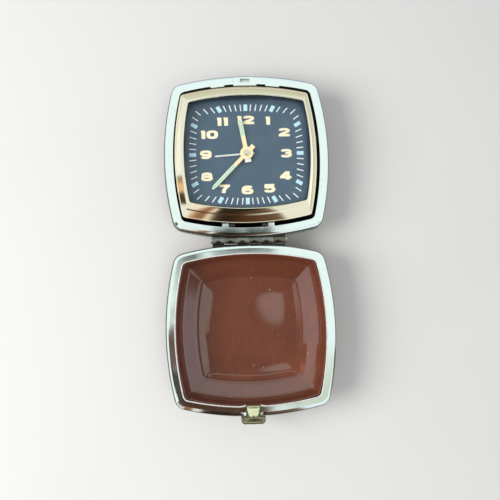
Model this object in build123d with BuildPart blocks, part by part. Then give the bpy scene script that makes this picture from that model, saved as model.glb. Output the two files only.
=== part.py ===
from build123d import *
import math
import os

# Folding travel alarm clock, lying open flat. X is to the right of the dial, Y towards its 12,
# Z up from the table. The hinge runs along X between the clock half and the lid.
# All sizes are in millimetres.

# Outline shared by both halves
half_size = 33.0
side_radius = 112.0
corner_radius = 4.5
half_depth = 15.5
rim_gap = 3.5

# Metal rim frame
rim_depth = 5.0
rim_wall = 0.6
flange_width = 3.4
flange_thickness = 0.6
flange_drop = 0.35
flange_slope = 1.3
opening_corner = 2.4
tab_reach = 0.6
tab_width = 5.6
tab_offset = 11.2
strike_width = 9.4

# Beaded side band
band_proud = 0.8
band_height = 1.9
band_below = 2.2
seat_gap = 0.05

# Moulded shell and its lining
shell_below = 1.4
shell_inset = 1.0
shell_wall = 1.2
shell_floor_half = 22.8
shell_floor_wall = 1.2
shell_bend = 8.5
lining_gap = 0.1
lining_sheet = 0.6
lining_floor_half = 20.15
bowl_power = 1.3
lining_depth_shares = (0.0, 0.4, 0.75, 1.0)

# Case hinge
barrel_radius = 1.2
hinge_pin_radius = 0.6
running_gap = 0.05
knuckle_count = 6
knuckle_pitch = 4.85
knuckle_gap = 0.15
hinge_lift = 0.15
leaf_thickness = 0.6
leaf_reach = 5.0
leaf_cut_back = 1.45
pin_head = 0.35

# Clasp on the lid
tongue_width = 5.2
tongue_tip_width = 4.0
tongue_thickness = 0.6
tongue_inner = 0.7
tongue_sunk = 0.1
notch_gap = 0.15
thumb_width = 9.4
thumb_length = 2.75
thumb_reach = 3.2
thumb_height = 3.6
thumb_corner = 1.0
thumb_round = 0.5
hook_width = 3.2
hook_blade = 0.45
hook_lip = 0.65
hook_lip_height = 0.4
hook_rise = 1.4
hook_slope = 0.25
slot_width = 3.8
slot_inner = 0.85
slot_length = 1.55
hook_gap = 0.2
lug_drop = 0.6
lug_thickness = 0.5
lug_width = 4.4
clasp_travel = 0.6
spring_strip = 0.2
spring_height = 0.55

# Swinging clock frame: bezel, glass, dial
bezel_gap_low = 2.2
bezel_gap_high = 0.9
bezel_half_x = 28.6
bezel_shift_x = -0.35
bezel_radius = 108.0
bezel_skirt = 1.5
bezel_edge = 0.8
bezel_crest = 3.2
bezel_bulge_share = 0.62
bezel_bulge_place_share = 0.42
opening_half_x = 25.25
opening_half_y = 22.7
opening_shift_x = 0.2
opening_shift_y = 0.5
opening_radius = 98.0
lip_thickness = 0.55
glass_seat = 0.9
dial_ring_gap = 0.2
glass_thickness = 1.0
dial_top = -1.0
dial_thickness = 0.4
dial_hole = 1.75
dial_foot_circle = 17.3
dial_foot_angles = (150.0, 250.0, 305.0)
dial_foot_radius = 0.6

# Pivot of the clock frame in the case
pivot_gap_share = 0.5
pivot_below = 0.7
pivot_pin_radius = 0.4
pivot_lug_radius = 0.7
pivot_lug_width = 2.4
pivot_lug_offset = 9.2
pivot_lug_gap = 0.15
pivot_arm_top = 1.6
pivot_arm_thickness = 0.7

# Movement housing and back cover
housing_top_half = 26.4
housing_floor_half = 21.6
housing_wall = 0.8
housing_bottom = -10.9
cover_thickness = 0.5
cover_gap = 0.1
wheel_slot_gap = 0.4
wheel_slot_depth = 5.5

# Movement plates, as heights from the rim plane
plate_radius = 20.0
front_plate_top = -4.3
front_plate_thickness = 0.8
back_plate_top = -9.0
back_plate_thickness = 0.7
pillar_radius = 1.2
pillar_tenon = 0.6
pillar_circle = 17.9
pillar_angles = (0.0, 90.0, 180.0, 255.0)
nut_radius = 1.4
nut_height = 0.5
screw_head_radius = 1.2
screw_head_height = 0.5
screw_shank = 0.6
screw_circle = 17.6
screw_angles = (45.0, 135.0, 300.0)

# Centre of the dial: arbor, pipes and hands
arbor_radius = 0.5
pipe_wall = 0.3
pipe_gap = 0.08
hand_thickness = 0.25
alarm_hand_level = -0.75
hour_hand_level = -0.15
minute_hand_level = 0.5
arbor_top = 1.2
minute_hand_length = 20.2
minute_hand_tail = 4.1
minute_hand_width = 1.5
minute_tail_width = 1.9
hour_hand_length = 15.7
hour_hand_tail = 3.7
hour_hand_width = 1.75
hour_tail_width = 2.5
alarm_hand_length = 13.0
alarm_hand_tail = 3.2
alarm_hand_width = 0.7
minute_boss = 2.6
hour_boss = 2.2
alarm_boss = 1.9
hand_tip_share = 0.45
hand_gap = 0.02
minute_hand_angle = 223.96
hour_hand_angle = 350.1
alarm_hand_angle = 265.9

# Alarm setting wheels
thumb_wheel_radius = 13.0
thumb_wheel_x = 15.7
thumb_wheel_y = 5.5
thumb_wheel_top = -1.6
thumb_wheel_thickness = 0.8
thumb_teeth = 62
thumb_tooth_height = 0.55
thumb_hub = 3.0
stud_radius = 1.0
set_gear_height = 0.5
set_gear_level = -3.0
mesh_gap = 0.08

# Motion work under the dial
motion_distance = 7.2
motion_angle = 205.0
cannon_teeth = 12
minute_wheel_teeth = 36
minute_pinion_teeth = 10
minute_stud_radius = 0.4
minute_pinion_level = -3.5
minute_pinion_height = 0.45
hour_wheel_teeth = 40
motion_wheel_height = 0.35
hour_wheel_level = -3.45
minute_wheel_level = -4.05
cannon_level = -4.15

# Going train between the plates
barrel_distance = 9.5
barrel_angle = 215.0
barrel_teeth = 64
centre_pinion_teeth = 12
barrel_level = -8.8
barrel_height = 2.9
barrel_wall = 0.5
barrel_tooth_band = 0.5
barrel_step = 0.5
key_arbor_radius = 0.8
centre_wheel_teeth = 60
third_pinion_teeth = 8
third_distance = 6.8
third_angle = 60.0
third_wheel_teeth = 50
fourth_pinion_teeth = 8
fourth_distance = 5.8
fourth_angle = 100.0
fourth_wheel_teeth = 40
escape_pinion_teeth = 8
escape_distance = 4.8
escape_angle = 180.0
escape_teeth = 15
escape_radius = 3.0
escape_tooth = 0.65
train_wheel_height = 0.3
pinion_height = 0.6
centre_wheel_level = -5.6
centre_pinion_level = -6.5
third_wheel_level = -7.2
fourth_wheel_level = -8.3
escape_wheel_level = -6.5
staff_radius = 0.35
plate_gap = 0.05
spoke_width = 0.9

# Escapement and balance
lever_x = -6.8
lever_y = 11.0
lever_level = -7.1
lever_width = 0.7
pallet_pin_radius = 0.16
pallet_gap = 0.3
pallet_spread = 1.9
balance_x = -11.2
balance_y = 7.6
balance_radius = 4.4
balance_rim = 0.8
balance_height = 0.6
balance_level = -8.3
roller_radius = 0.7
hairspring_level = -8.7
hairspring_strip = 0.12
hairspring_height = 0.25
hairspring_turns = 3
hairspring_inner = 0.9
hairspring_pitch = 0.55

# Alarm work
alarm_barrel_x = 8.6
alarm_barrel_y = -6.8
alarm_barrel_teeth = 56
strike_pinion_teeth = 8
strike_distance = 8.0
strike_angle = 80.0
strike_wheel_radius = 2.4
strike_wheel_teeth = 12
strike_tooth = 0.65
strike_wheel_level = -5.75
hammer_x = 14.4
hammer_y = 6.6
hammer_arm = 4.4
hammer_angle = 84.0
hammer_width = 1.0
hammer_level = -8.0
hammer_head_radius = 1.3
hammer_head_height = 2.55
mainspring_turns = 2
mainspring_strip = 0.3
mainspring_inner = 1.3
mainspring_height = 1.6
spring_margin = 0.4

# Keys and controls on the back
key_top = -11.2
key_height = 2.0
key_hub_radius = 1.7
key_wing_length = 5.4
key_wing_width = 1.1
key_wing_corner = 0.35
key_turn = 25.0
key_hole_gap = 0.25
knob_radius = 2.5
knob_height = 1.8
knob_teeth = 16
knob_tooth = 0.4
stop_x = 0.0
stop_y = -15.6
stop_stem_radius = 0.8
stop_head_radius = 1.9
stop_head_height = 0.9
stop_travel = 0.9
regulator_arm = 5.0
regulator_width = 1.0
regulator_thickness = 0.3
regulator_drop = 0.1
regulator_finger = 0.5
regulator_finger_length = 1.5
regulator_swing = 20.0
regulator_boss = 0.55

# Hidden surfaces: how many flats stand for a bowed side, a round and a wheel
side_flats = 6
chord_room = 0.15
corner_cut_share = 0.2
round_sides = 6
wheel_sides = 12
plate_sides = 16
nut_sides = 6
coil_steps = 8

# The steps that find where two side arcs meet
corner_rounds = 30

# Places worked out from the sizes above
rim_z = half_depth
hinge_y = (thumb_reach - band_proud) / 2
hinge_z = rim_z + hinge_lift
centre_offset = rim_gap / 2 + half_size
case_y = hinge_y + centre_offset
lid_y = hinge_y - centre_offset
opening_half = half_size - flange_width
shell_top = rim_z - shell_below
flange_under = rim_z - flange_thickness
low_edge_y = case_y - opening_half
bezel_half_y = opening_half - (bezel_gap_low + bezel_gap_high) / 2
dial_y = case_y + (bezel_gap_low - bezel_gap_high) / 2
pivot_y = low_edge_y + bezel_gap_low * pivot_gap_share
pivot_z = rim_z - pivot_below
pivot_bore = pivot_pin_radius + running_gap
housing_top = -bezel_skirt - seat_gap
back_plate_under = back_plate_top - back_plate_thickness
front_plate_under = front_plate_top - front_plate_thickness
cover_top = housing_bottom + cover_thickness
hour_pipe_inner = arbor_radius + pipe_wall + pipe_gap
hour_pipe_outer = hour_pipe_inner + pipe_wall
alarm_pipe_inner = hour_pipe_outer + pipe_gap
alarm_pipe_outer = alarm_pipe_inner + pipe_wall
set_distance = math.hypot(thumb_wheel_x, thumb_wheel_y)
set_pitch = (set_distance - mesh_gap) / 2


def write(piece, name):
    """Labels a finished piece and writes it under its name."""
    piece.part.label = name
    export_step(piece.part, f"parts/{name}.step")


def between(start, end, share):
    """A value part of the way from one to another."""
    return start + (end - start) * share


def side_corner(half_x, half_y, radius):
    """The point where a side arc and an end arc of a bowed square meet."""
    x = half_x
    y = half_y
    for _ in range(corner_rounds):
        x = half_x - (radius - math.sqrt(radius**2 - y**2))
        y = half_y - (radius - math.sqrt(radius**2 - x**2))
    return x, y


def cushion(plane, half_x, half_y, radius, corner=0):
    """A square with four outward bowed sides and, where asked, rounded or cut corners."""
    x, y = side_corner(half_x, half_y, radius)
    with BuildSketch(plane) as outline:
        with BuildLine():
            ThreePointArc((x, -y), (half_x, 0), (x, y))
            ThreePointArc((x, y), (0, half_y), (-x, y))
            ThreePointArc((-x, y), (-half_x, 0), (-x, -y))
            ThreePointArc((-x, -y), (0, -half_y), (x, -y))
        make_face()
        if corner > 0:
            fillet(outline.vertices(), corner)
    return outline.sketch


chord_swing = math.asin(side_corner(half_size, half_size, side_radius)[1] / side_radius)


def chord_points(half_x, half_y, radius, corner=0):
    """The corners of a bowed square in flats, whose own corners may be cut."""
    x, y = side_corner(half_x, half_y, radius)
    corner_distance = (x + y) * math.sin(math.radians(45)) - corner * corner_cut_share
    spread = chord_swing / side_flats
    flats = []
    for side, half in enumerate((half_x, half_y, half_x, half_y)):
        for flat in range(side_flats):
            angle = spread * (2 * flat + 1 - side_flats)
            distance = (half - radius) * math.cos(angle) + radius * math.cos(spread)
            flats.append((angle + math.radians(90 * side), distance))
        if corner > 0:
            flats.append((math.radians(90 * side + 45), corner_distance))
    points = []
    for (start, near), (end, far) in zip(flats, flats[1:] + flats[:1]):
        turn = math.sin(end - start)
        x = (near * math.sin(end) - far * math.sin(start)) / turn
        y = (far * math.cos(start) - near * math.cos(end)) / turn
        points.append((x, y))
    return points


def chorded(plane, half_x, half_y, radius, corner=0):
    """The bowed square in flats, for surfaces that stay hidden."""
    with BuildSketch(plane) as outline:
        with BuildLine():
            Polyline(*chord_points(half_x, half_y, radius, corner), close=True)
        make_face()
    return outline.sketch


def flat_block(centre_y, sections, mode=Mode.ADD, corner=0):
    """A block with flat sides through level bowed squares, each given by its height and half width."""
    rings = []
    for level, half in sections:
        plane = level_plane(centre_y, level)
        points = chord_points(half, half, side_radius - half_size + half, corner)
        rings.append([plane.from_local_coords(point) for point in points])
    faces = [Face(Wire.make_polygon(ring)) for ring in (rings[0], rings[-1])]
    for upper, lower in zip(rings, rings[1:]):
        corners = zip(upper, upper[1:] + upper[:1], lower[1:] + lower[:1], lower)
        faces.extend(Face(Wire.make_polygon(side)) for side in corners)
    add(Solid(Shell(faces)), mode=mode)


def half_cushion(plane, inset, corner=0, draw=cushion):
    """The outline of a half, drawn in from the rim's edge by an even inset."""
    half = half_size - inset
    return draw(plane, half, half, side_radius - inset, corner)


def bowl_half(top_half, floor_half, share):
    """The half width of a bowl at a share of its depth."""
    spread = (1 - share**bowl_power) ** (1 / bowl_power)
    return floor_half + (top_half - floor_half) * spread


def bowl(floor_z, mouth_half, floor_half):
    """Heights and half widths of a bowl that falls from a wide mouth to a smaller flat floor."""
    sections = []
    for share in lining_depth_shares:
        sections.append((between(shell_top, floor_z, share), bowl_half(mouth_half, floor_half, share)))
    return sections


def polar(radius, degrees):
    """A point at a distance and angle, counted anticlockwise from +X."""
    angle = math.radians(degrees)
    return radius * math.cos(angle), radius * math.sin(angle)


def dial_plane(level, place=(0, 0), turn=0):
    """A level plane at a height from the rim plane, placed from the centre of the dial."""
    return Plane((place[0], dial_y + place[1], rim_z + level), x_dir=(*polar(1, turn), 0))


def toothed(plane, teeth, pitch, height):
    """A wheel outline with pointed teeth, one of them on the plane's X direction."""
    points = []
    for i in range(teeth):
        points.append(polar(pitch + height / 2, 360 * i / teeth))
        points.append(polar(pitch - height / 2, 360 * (i + 0.5) / teeth))
    with BuildSketch(plane) as outline:
        with BuildLine():
            Polyline(*points, close=True)
        make_face()
    return outline.sketch


def disc(plane, radius, sides=0, outside=False):
    """A round outline on a plane, or the same in flats, drawn inside or outside the round."""
    with BuildSketch(plane) as outline:
        if sides:
            RegularPolygon(radius, sides, major_radius=not outside)
        else:
            Circle(radius)
    return outline.sketch


def spiral(plane, inner, pitch, turns, strip):
    """A flat coiled strip, each turn one pitch further out."""
    outer_edge = []
    inner_edge = []
    for step in range(turns * coil_steps + 1):
        reach = inner + pitch * step / coil_steps
        angle = 360 * step / coil_steps
        outer_edge.append(polar(reach + strip / 2, angle))
        inner_edge.append(polar(reach - strip / 2, angle))
    with BuildSketch(plane) as coil:
        with BuildLine():
            Polyline(*outer_edge, *reversed(inner_edge), close=True)
        make_face()
    return coil.sketch


def level_plane(centre_y, level):
    """A level plane over the centre of a half."""
    return Plane((0, centre_y, level))


def rim_blank(centre_y, side):
    """A pressed metal rim: a sloping flange round the opening and a wall turned down outside."""
    bottom = rim_z - rim_depth
    extrude(half_cushion(level_plane(centre_y, bottom), 0, corner_radius), amount=rim_depth)
    top = faces().sort_by(Axis.Z)[-1]
    chamfer(top.edges(), length=flange_slope, length2=flange_drop, reference=top)
    hollow = half_cushion(level_plane(centre_y, flange_under), rim_wall, corner_radius, chorded)
    extrude(hollow, amount=-rim_depth, mode=Mode.SUBTRACT)
    with BuildSketch(level_plane(hinge_y, leaf_level)) as leaf_way:
        with Locations((0, side * leaf_reach / 2)):
            Rectangle(hinge_width + 2 * knuckle_gap, leaf_reach)
    extrude(leaf_way.sketch, amount=flange_under - leaf_level, mode=Mode.SUBTRACT)


hinge_width = knuckle_count * knuckle_pitch
leaf_level = flange_under - seat_gap - leaf_thickness - seat_gap
os.makedirs("parts", exist_ok=True)

# Rim of the clock half, with its tabs, its strike lip and the lugs that hold the clock frame
with BuildPart() as case_rim:
    rim_blank(case_y, 1)
    with BuildSketch(level_plane(case_y, rim_z)) as opening:
        add(cushion(Plane.XY, opening_half, opening_half, side_radius - flange_width, opening_corner))
        with Locations((-tab_offset, opening_half), (tab_offset, opening_half)):
            Rectangle(tab_width, opening_half / 2, mode=Mode.SUBTRACT)
        with Locations((0, opening_half)):
            Rectangle(strike_width, opening_half / 2, mode=Mode.SUBTRACT)
    extrude(opening.sketch, amount=-2 * flange_thickness, mode=Mode.SUBTRACT)
    inner_opening = cushion(
        level_plane(case_y, rim_z),
        opening_half - tab_reach,
        opening_half - tab_reach,
        side_radius - flange_width - tab_reach,
        opening_corner,
    )
    extrude(inner_opening, amount=-2 * flange_thickness, mode=Mode.SUBTRACT)
    with BuildSketch(level_plane(hinge_y, rim_z)) as hook_slot:
        with Locations((0, rim_gap / 2 + 2 * half_size - flange_width + slot_inner + slot_length / 2)):
            Rectangle(slot_width, slot_length)
    extrude(hook_slot.sketch, amount=-2 * flange_thickness, mode=Mode.SUBTRACT)
    lug_start = low_edge_y - seat_gap
    lug_length = pivot_y + pivot_lug_radius - lug_start
    for sign in (-1, 1):
        with BuildSketch(Plane.YZ.offset(sign * pivot_lug_offset - pivot_lug_width / 2)) as lug:
            with Locations((lug_start + lug_length / 2, flange_under)):
                Rectangle(lug_length, 2 * flange_thickness)
            with Locations((pivot_y, pivot_z)):
                RegularPolygon(pivot_lug_radius, round_sides)
                RegularPolygon(pivot_bore, round_sides, major_radius=False, mode=Mode.SUBTRACT)
        extrude(lug.sketch, amount=pivot_lug_width)
write(case_rim, "case_rim")

# Rim of the lid, notched at its free edge for the clasp's tongue
with BuildPart() as lid_rim:
    rim_blank(lid_y, -1)
    extrude(
        half_cushion(level_plane(lid_y, rim_z), flange_width, opening_corner),
        amount=-2 * flange_thickness,
        mode=Mode.SUBTRACT,
    )
    tongue_outer_y = hinge_y - rim_gap / 2 - 2 * half_size
    notch_floor = rim_z - tongue_sunk - tongue_thickness - notch_gap
    with BuildSketch(level_plane(tongue_outer_y, rim_z)) as notch:
        with Locations((0, flange_width / 2)):
            Rectangle(tongue_width + 2 * notch_gap, 2 * flange_width + clasp_travel)
    extrude(notch.sketch, amount=notch_floor - rim_z, mode=Mode.SUBTRACT)
write(lid_rim, "lid_rim")

# Beaded band round the wall of each rim
for name, centre_y in (("case", case_y), ("lid", lid_y)):
    with BuildPart() as band:
        top = rim_z - band_below
        outer = half_cushion(level_plane(centre_y, top), -band_proud, corner_radius + band_proud, chorded)
        extrude(outer, amount=-band_height)
        inner = half_cushion(level_plane(centre_y, top), -seat_gap - chord_room, corner_radius, chorded)
        extrude(inner, amount=-band_height, mode=Mode.SUBTRACT)
        if name == "lid":
            with BuildSketch(level_plane(tongue_outer_y, top)) as clasp_way:
                Rectangle(thumb_width + 2 * hook_gap, 2 * thumb_reach)
            extrude(clasp_way.sketch, amount=-band_height, mode=Mode.SUBTRACT)
    write(band, f"{name}_side_band")

# Moulded outer shell of each half, upright under the rim and then sloping in to its foot
for name, centre_y in (("case", case_y), ("lid", lid_y)):
    with BuildPart() as shell:
        skin = (
            (shell_top, half_size - shell_inset),
            (shell_bend, half_size - shell_inset),
            (0, shell_floor_half),
        )
        flat_block(centre_y, skin, corner=corner_radius)
        hollow = (
            (shell_top, half_size - shell_inset - shell_wall),
            (shell_bend, half_size - shell_inset - shell_wall),
            (shell_floor_wall, shell_floor_half - shell_wall),
        )
        flat_block(centre_y, hollow, Mode.SUBTRACT)
    write(shell, f"{name}_shell")

# Formed lining of each half, a flat floor and four hollow sides under a narrow lip
lining_half = opening_half + lining_gap
lining_under = shell_floor_wall + lining_gap
lining_floor = lining_under + lining_sheet
outside = bowl(lining_under, lining_half + lining_sheet, lining_floor_half + lining_sheet)
inside = bowl(lining_floor, lining_half, lining_floor_half)
with BuildPart() as case_lining:
    flat_block(case_y, outside)
    flat_block(case_y, inside, Mode.SUBTRACT)
write(case_lining, "case_lining")

with BuildPart() as lid_lining:
    flat_block(lid_y, outside)
    flat_block(lid_y, inside, Mode.SUBTRACT)
write(lid_lining, "lid_lining")


def knuckle_x(index):
    """The middle of a hinge knuckle, counted from the left."""
    return (index - (knuckle_count - 1) / 2) * knuckle_pitch


# Two hinge leaves whose knuckles take turns along the pin
for name, side, first in (("case", 1, 1), ("lid", -1, 0)):
    own = range(first, knuckle_count, 2)
    knuckle_length = knuckle_pitch - knuckle_gap
    with BuildPart() as leaf:
        with BuildSketch(level_plane(hinge_y, leaf_level + seat_gap)) as plate:
            with Locations((0, side * (leaf_cut_back + leaf_reach - knuckle_gap) / 2)):
                Rectangle(hinge_width - knuckle_gap, leaf_reach - knuckle_gap - leaf_cut_back)
            for index in own:
                with Locations((knuckle_x(index), side * leaf_cut_back / 2)):
                    Rectangle(knuckle_length, leaf_cut_back)
        extrude(plate.sketch, amount=leaf_thickness)
        for index in own:
            barrel_plane = Plane.YZ.offset(knuckle_x(index) - knuckle_length / 2)
            with BuildSketch(barrel_plane) as knuckle:
                with Locations((hinge_y, hinge_z)):
                    Circle(barrel_radius)
            extrude(knuckle.sketch, amount=knuckle_length)
        with BuildSketch(Plane.YZ.offset(-hinge_width / 2)) as bore:
            with Locations((hinge_y, hinge_z)):
                RegularPolygon(hinge_pin_radius + running_gap, round_sides, major_radius=False)
        extrude(bore.sketch, amount=hinge_width, mode=Mode.SUBTRACT)
    write(leaf, f"{name}_hinge_leaf")

with BuildPart() as hinge_pin:
    with BuildSketch(Plane.YZ.offset(-hinge_width / 2)) as pin_round:
        with Locations((hinge_y, hinge_z)):
            RegularPolygon(hinge_pin_radius, round_sides)
    extrude(pin_round.sketch, amount=hinge_width)
    for sign in (-1, 1):
        with BuildSketch(Plane.YZ.offset(sign * hinge_width / 2)) as head:
            with Locations((hinge_y, hinge_z)):
                RegularPolygon(barrel_radius - running_gap, wheel_sides)
        extrude(head.sketch, amount=sign * pin_head)
write(hinge_pin, "hinge_pin")

# Clasp: a brass tongue in the lid's notch, its hook, and the thumb piece outside the rim
tongue_under = rim_z - tongue_sunk - tongue_thickness
thumb_inner_y = tongue_outer_y - (thumb_reach - thumb_length)
with BuildPart() as clasp_tongue:
    with BuildSketch(Plane((0, tongue_outer_y, tongue_under))) as tongue:
        with BuildLine():
            inner_y = flange_width + tongue_inner
            tip_y = thumb_inner_y - tongue_outer_y
            Polyline(
                (-tongue_width / 2, inner_y),
                (tongue_width / 2, inner_y),
                (tongue_width / 2, flange_width / 2),
                (tongue_tip_width / 2, tip_y),
                (-tongue_tip_width / 2, tip_y),
                (-tongue_width / 2, flange_width / 2),
                close=True,
            )
        make_face()
    extrude(tongue.sketch, amount=tongue_thickness)
    hook_y = tongue_outer_y + flange_width - slot_inner - hook_gap
    hook_top = rim_z + hook_rise
    with BuildSketch(Plane.YZ.offset(-hook_width / 2)) as hook:
        with BuildLine():
            Polyline(
                (hook_y - hook_blade, tongue_under),
                (hook_y, tongue_under),
                (hook_y, hook_top - hook_lip_height),
                (hook_y + hook_lip, hook_top - hook_lip_height),
                (hook_y + hook_lip - hook_slope, hook_top),
                (hook_y - hook_blade, hook_top),
                close=True,
            )
        make_face()
    extrude(hook.sketch, amount=hook_width)
    with BuildSketch(Plane((0, tongue_outer_y, tongue_under))) as lug:
        with Locations((0, flange_width - lug_thickness / 2)):
            Rectangle(lug_width, lug_thickness)
    extrude(lug.sketch, amount=-lug_drop)
write(clasp_tongue, "clasp_tongue")

with BuildPart() as clasp_thumb_piece:
    with BuildSketch(Plane((0, thumb_inner_y - thumb_length / 2, rim_z))) as thumb:
        Rectangle(thumb_width, thumb_length)
        chamfer(thumb.vertices().group_by(Axis.Y)[0], length=thumb_corner)
    extrude(thumb.sketch, amount=-thumb_height)
    chamfer(clasp_thumb_piece.edges().group_by(Axis.Z)[-1], length=thumb_round)
write(clasp_thumb_piece, "clasp_thumb_piece")

with BuildPart() as clasp_spring:
    spring_low = tongue_outer_y + flange_width - lug_thickness - 2 * spring_strip
    spring_high = tongue_outer_y + rim_wall + spring_strip
    with BuildSketch(Plane((0, 0, tongue_under - seat_gap))) as bow:
        with BuildLine():
            ThreePointArc((-lug_width / 2, spring_low), (0, spring_high), (lug_width / 2, spring_low))
        trace(line_width=spring_strip)
    extrude(bow.sketch, amount=-spring_height)
write(clasp_spring, "clasp_spring")


def frame_plane(level, shift_x=0, shift_y=0):
    """A level plane of the swinging frame, moved sideways from the centre of the dial."""
    return Plane((shift_x, dial_y + shift_y, rim_z + level))


def sight(level, spread, draw=cushion):
    """The dial opening's outline, widened by a spread."""
    return draw(
        frame_plane(level, opening_shift_x, opening_shift_y),
        opening_half_x + spread,
        opening_half_y + spread,
        opening_radius + spread,
    )


# Bezel: a straight skirt, then four domed facets that meet in mitres and rise to the glass
glass_top = bezel_crest - lip_thickness - seat_gap
with BuildPart() as bezel:
    extrude(
        cushion(frame_plane(-bezel_skirt, bezel_shift_x), bezel_half_x, bezel_half_y, bezel_radius),
        amount=bezel_skirt + bezel_edge,
    )
    bulge = bezel_bulge_place_share
    facets = (
        cushion(frame_plane(bezel_edge, bezel_shift_x), bezel_half_x, bezel_half_y, bezel_radius),
        cushion(
            frame_plane(
                between(bezel_edge, bezel_crest, bezel_bulge_share),
                between(bezel_shift_x, opening_shift_x, bulge),
                opening_shift_y * bulge,
            ),
            between(bezel_half_x, opening_half_x, bulge),
            between(bezel_half_y, opening_half_y, bulge),
            between(bezel_radius, opening_radius, bulge),
        ),
        sight(bezel_crest, 0),
    )
    loft(facets, ruled=True)
    seat_height = glass_top + bezel_skirt + seat_gap
    extrude(sight(-bezel_skirt, glass_seat, chorded), amount=seat_height, mode=Mode.SUBTRACT)
    extrude(sight(-bezel_skirt, 0), amount=2 * bezel_crest + bezel_skirt, mode=Mode.SUBTRACT)
write(bezel, "bezel")

with BuildPart() as crystal:
    extrude(sight(glass_top, glass_seat - lining_gap, chorded), amount=-glass_thickness)
write(crystal, "crystal")

# Ring that holds the glass off the dial
with BuildPart() as dial_ring:
    ring_top = glass_top - glass_thickness - seat_gap
    ring_height = ring_top - dial_top - seat_gap
    extrude(sight(ring_top, glass_seat - lining_gap, chorded), amount=-ring_height)
    extrude(sight(ring_top, dial_ring_gap, chorded), amount=-ring_height, mode=Mode.SUBTRACT)
write(dial_ring, "dial_ring")

with BuildPart() as dial:
    extrude(sight(dial_top, glass_seat - lining_gap, chorded), amount=-dial_thickness)
    extrude(disc(dial_plane(dial_top), dial_hole), amount=-dial_thickness, mode=Mode.SUBTRACT)
    for angle in dial_foot_angles:
        foot_plane = dial_plane(dial_top - dial_thickness, polar(dial_foot_circle, angle))
        foot = disc(foot_plane, dial_foot_radius, round_sides)
        extrude(foot, amount=front_plate_top + seat_gap - dial_top + dial_thickness)
write(dial, "dial")


def housing_half(level):
    """The half width of the tapering housing at a height from the rim plane."""
    share = (level - housing_top) / (housing_bottom - housing_top)
    return between(housing_top_half, housing_floor_half, share)


# Movement housing, open at both ends, with a slot for the thumb wheel and two pivot arms
arm_offset = pivot_lug_offset - pivot_lug_width - pivot_lug_gap
with BuildPart() as module_housing:
    housing_ends = ((rim_z + housing_top, housing_top_half), (rim_z + housing_bottom, housing_floor_half))
    flat_block(dial_y, housing_ends)
    arm_bottom = rim_z - pivot_arm_top - pivot_arm_thickness
    arm_end = dial_y - housing_top_half + housing_wall
    for sign in (-1, 1):
        with BuildSketch(Plane.YZ.offset(sign * arm_offset - pivot_lug_width / 2)) as arm:
            with Locations(((pivot_y + arm_end) / 2, arm_bottom + pivot_arm_thickness / 2)):
                Rectangle(arm_end - pivot_y, pivot_arm_thickness)
            with Locations((pivot_y + pivot_lug_radius / 2, (arm_bottom + pivot_z) / 2)):
                Rectangle(pivot_lug_radius, pivot_z - arm_bottom)
            with Locations((pivot_y, pivot_z)):
                RegularPolygon(pivot_lug_radius, round_sides)
                RegularPolygon(pivot_bore, round_sides, major_radius=False, mode=Mode.SUBTRACT)
        extrude(arm.sketch, amount=pivot_lug_width)
    flat_block(dial_y, [(level, half - housing_wall) for level, half in housing_ends], Mode.SUBTRACT)
    wall_reach = housing_half(set_gear_level) - 2 * housing_wall - thumb_wheel_x
    slot_half = math.sqrt(thumb_wheel_radius**2 - wall_reach**2)
    with BuildSketch(frame_plane(set_gear_level - wheel_slot_gap)) as wheel_slot:
        with Locations((housing_top_half, thumb_wheel_y)):
            Rectangle(wheel_slot_depth, 2 * slot_half + 4 * wheel_slot_gap)
    extrude(wheel_slot.sketch, amount=-set_gear_level, mode=Mode.SUBTRACT)
write(module_housing, "module_housing")

with BuildPart() as module_pivot_pins:
    pin_start = arm_offset - pivot_lug_width / 2
    pin_end = pivot_lug_offset + pivot_lug_width / 2
    for sign in (-1, 1):
        with BuildSketch(Plane.YZ.offset(sign * pin_start)) as pivot_round:
            with Locations((pivot_y, pivot_z)):
                RegularPolygon(pivot_pin_radius, round_sides)
        extrude(pivot_round.sketch, amount=sign * (pin_end - pin_start))
write(module_pivot_pins, "module_pivot_pins")

# Places on the movement, seen from the front, from the centre of the dial
centre = (0, 0)
motion_place = polar(motion_distance, motion_angle)
thumb_place = (thumb_wheel_x, thumb_wheel_y)
barrel_place = polar(barrel_distance, barrel_angle)
third_place = polar(third_distance, third_angle)


def step_from(place, distance, angle):
    """A place at a distance and angle from another."""
    step = polar(distance, angle)
    return place[0] + step[0], place[1] + step[1]


fourth_place = step_from(third_place, fourth_distance, fourth_angle)
escape_place = step_from(fourth_place, escape_distance, escape_angle)
alarm_place = (alarm_barrel_x, alarm_barrel_y)
strike_place = step_from(alarm_place, strike_distance, strike_angle)
lever_place = (lever_x, lever_y)
balance_place = (balance_x, balance_y)
hammer_place = (hammer_x, hammer_y)
stop_place = (stop_x, stop_y)
staff_places = (
    third_place,
    fourth_place,
    escape_place,
    strike_place,
    lever_place,
    balance_place,
    hammer_place,
)
staff_hole = staff_radius + running_gap
key_places = (barrel_place, alarm_place)


def column(place, bottom, top, radius, sides=round_sides):
    """A round column between two heights, in flats unless its sides are 0."""
    extrude(disc(dial_plane(bottom, place), radius, sides), amount=top - bottom)


def bored(place, bottom, top, radius):
    """A hole between two heights whose flats clear a round of this radius."""
    hole = disc(dial_plane(bottom, place), radius, round_sides, outside=True)
    extrude(hole, amount=top - bottom, mode=Mode.SUBTRACT)


def wheel(place, level, height, pitch):
    """A wheel of the sealed movement, drawn as the disc that its teeth roll on."""
    column(place, level, level + height, pitch, wheel_sides)


def mesh(distance, driver, driven):
    """The two pitch radii that share a centre distance by their teeth."""
    shared = distance - mesh_gap
    return shared * driver / (driver + driven), shared * driven / (driver + driven)


def staff(place):
    """A staff whose ends turn in both plates."""
    column(place, back_plate_under + plate_gap, front_plate_top - plate_gap, staff_radius)


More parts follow.
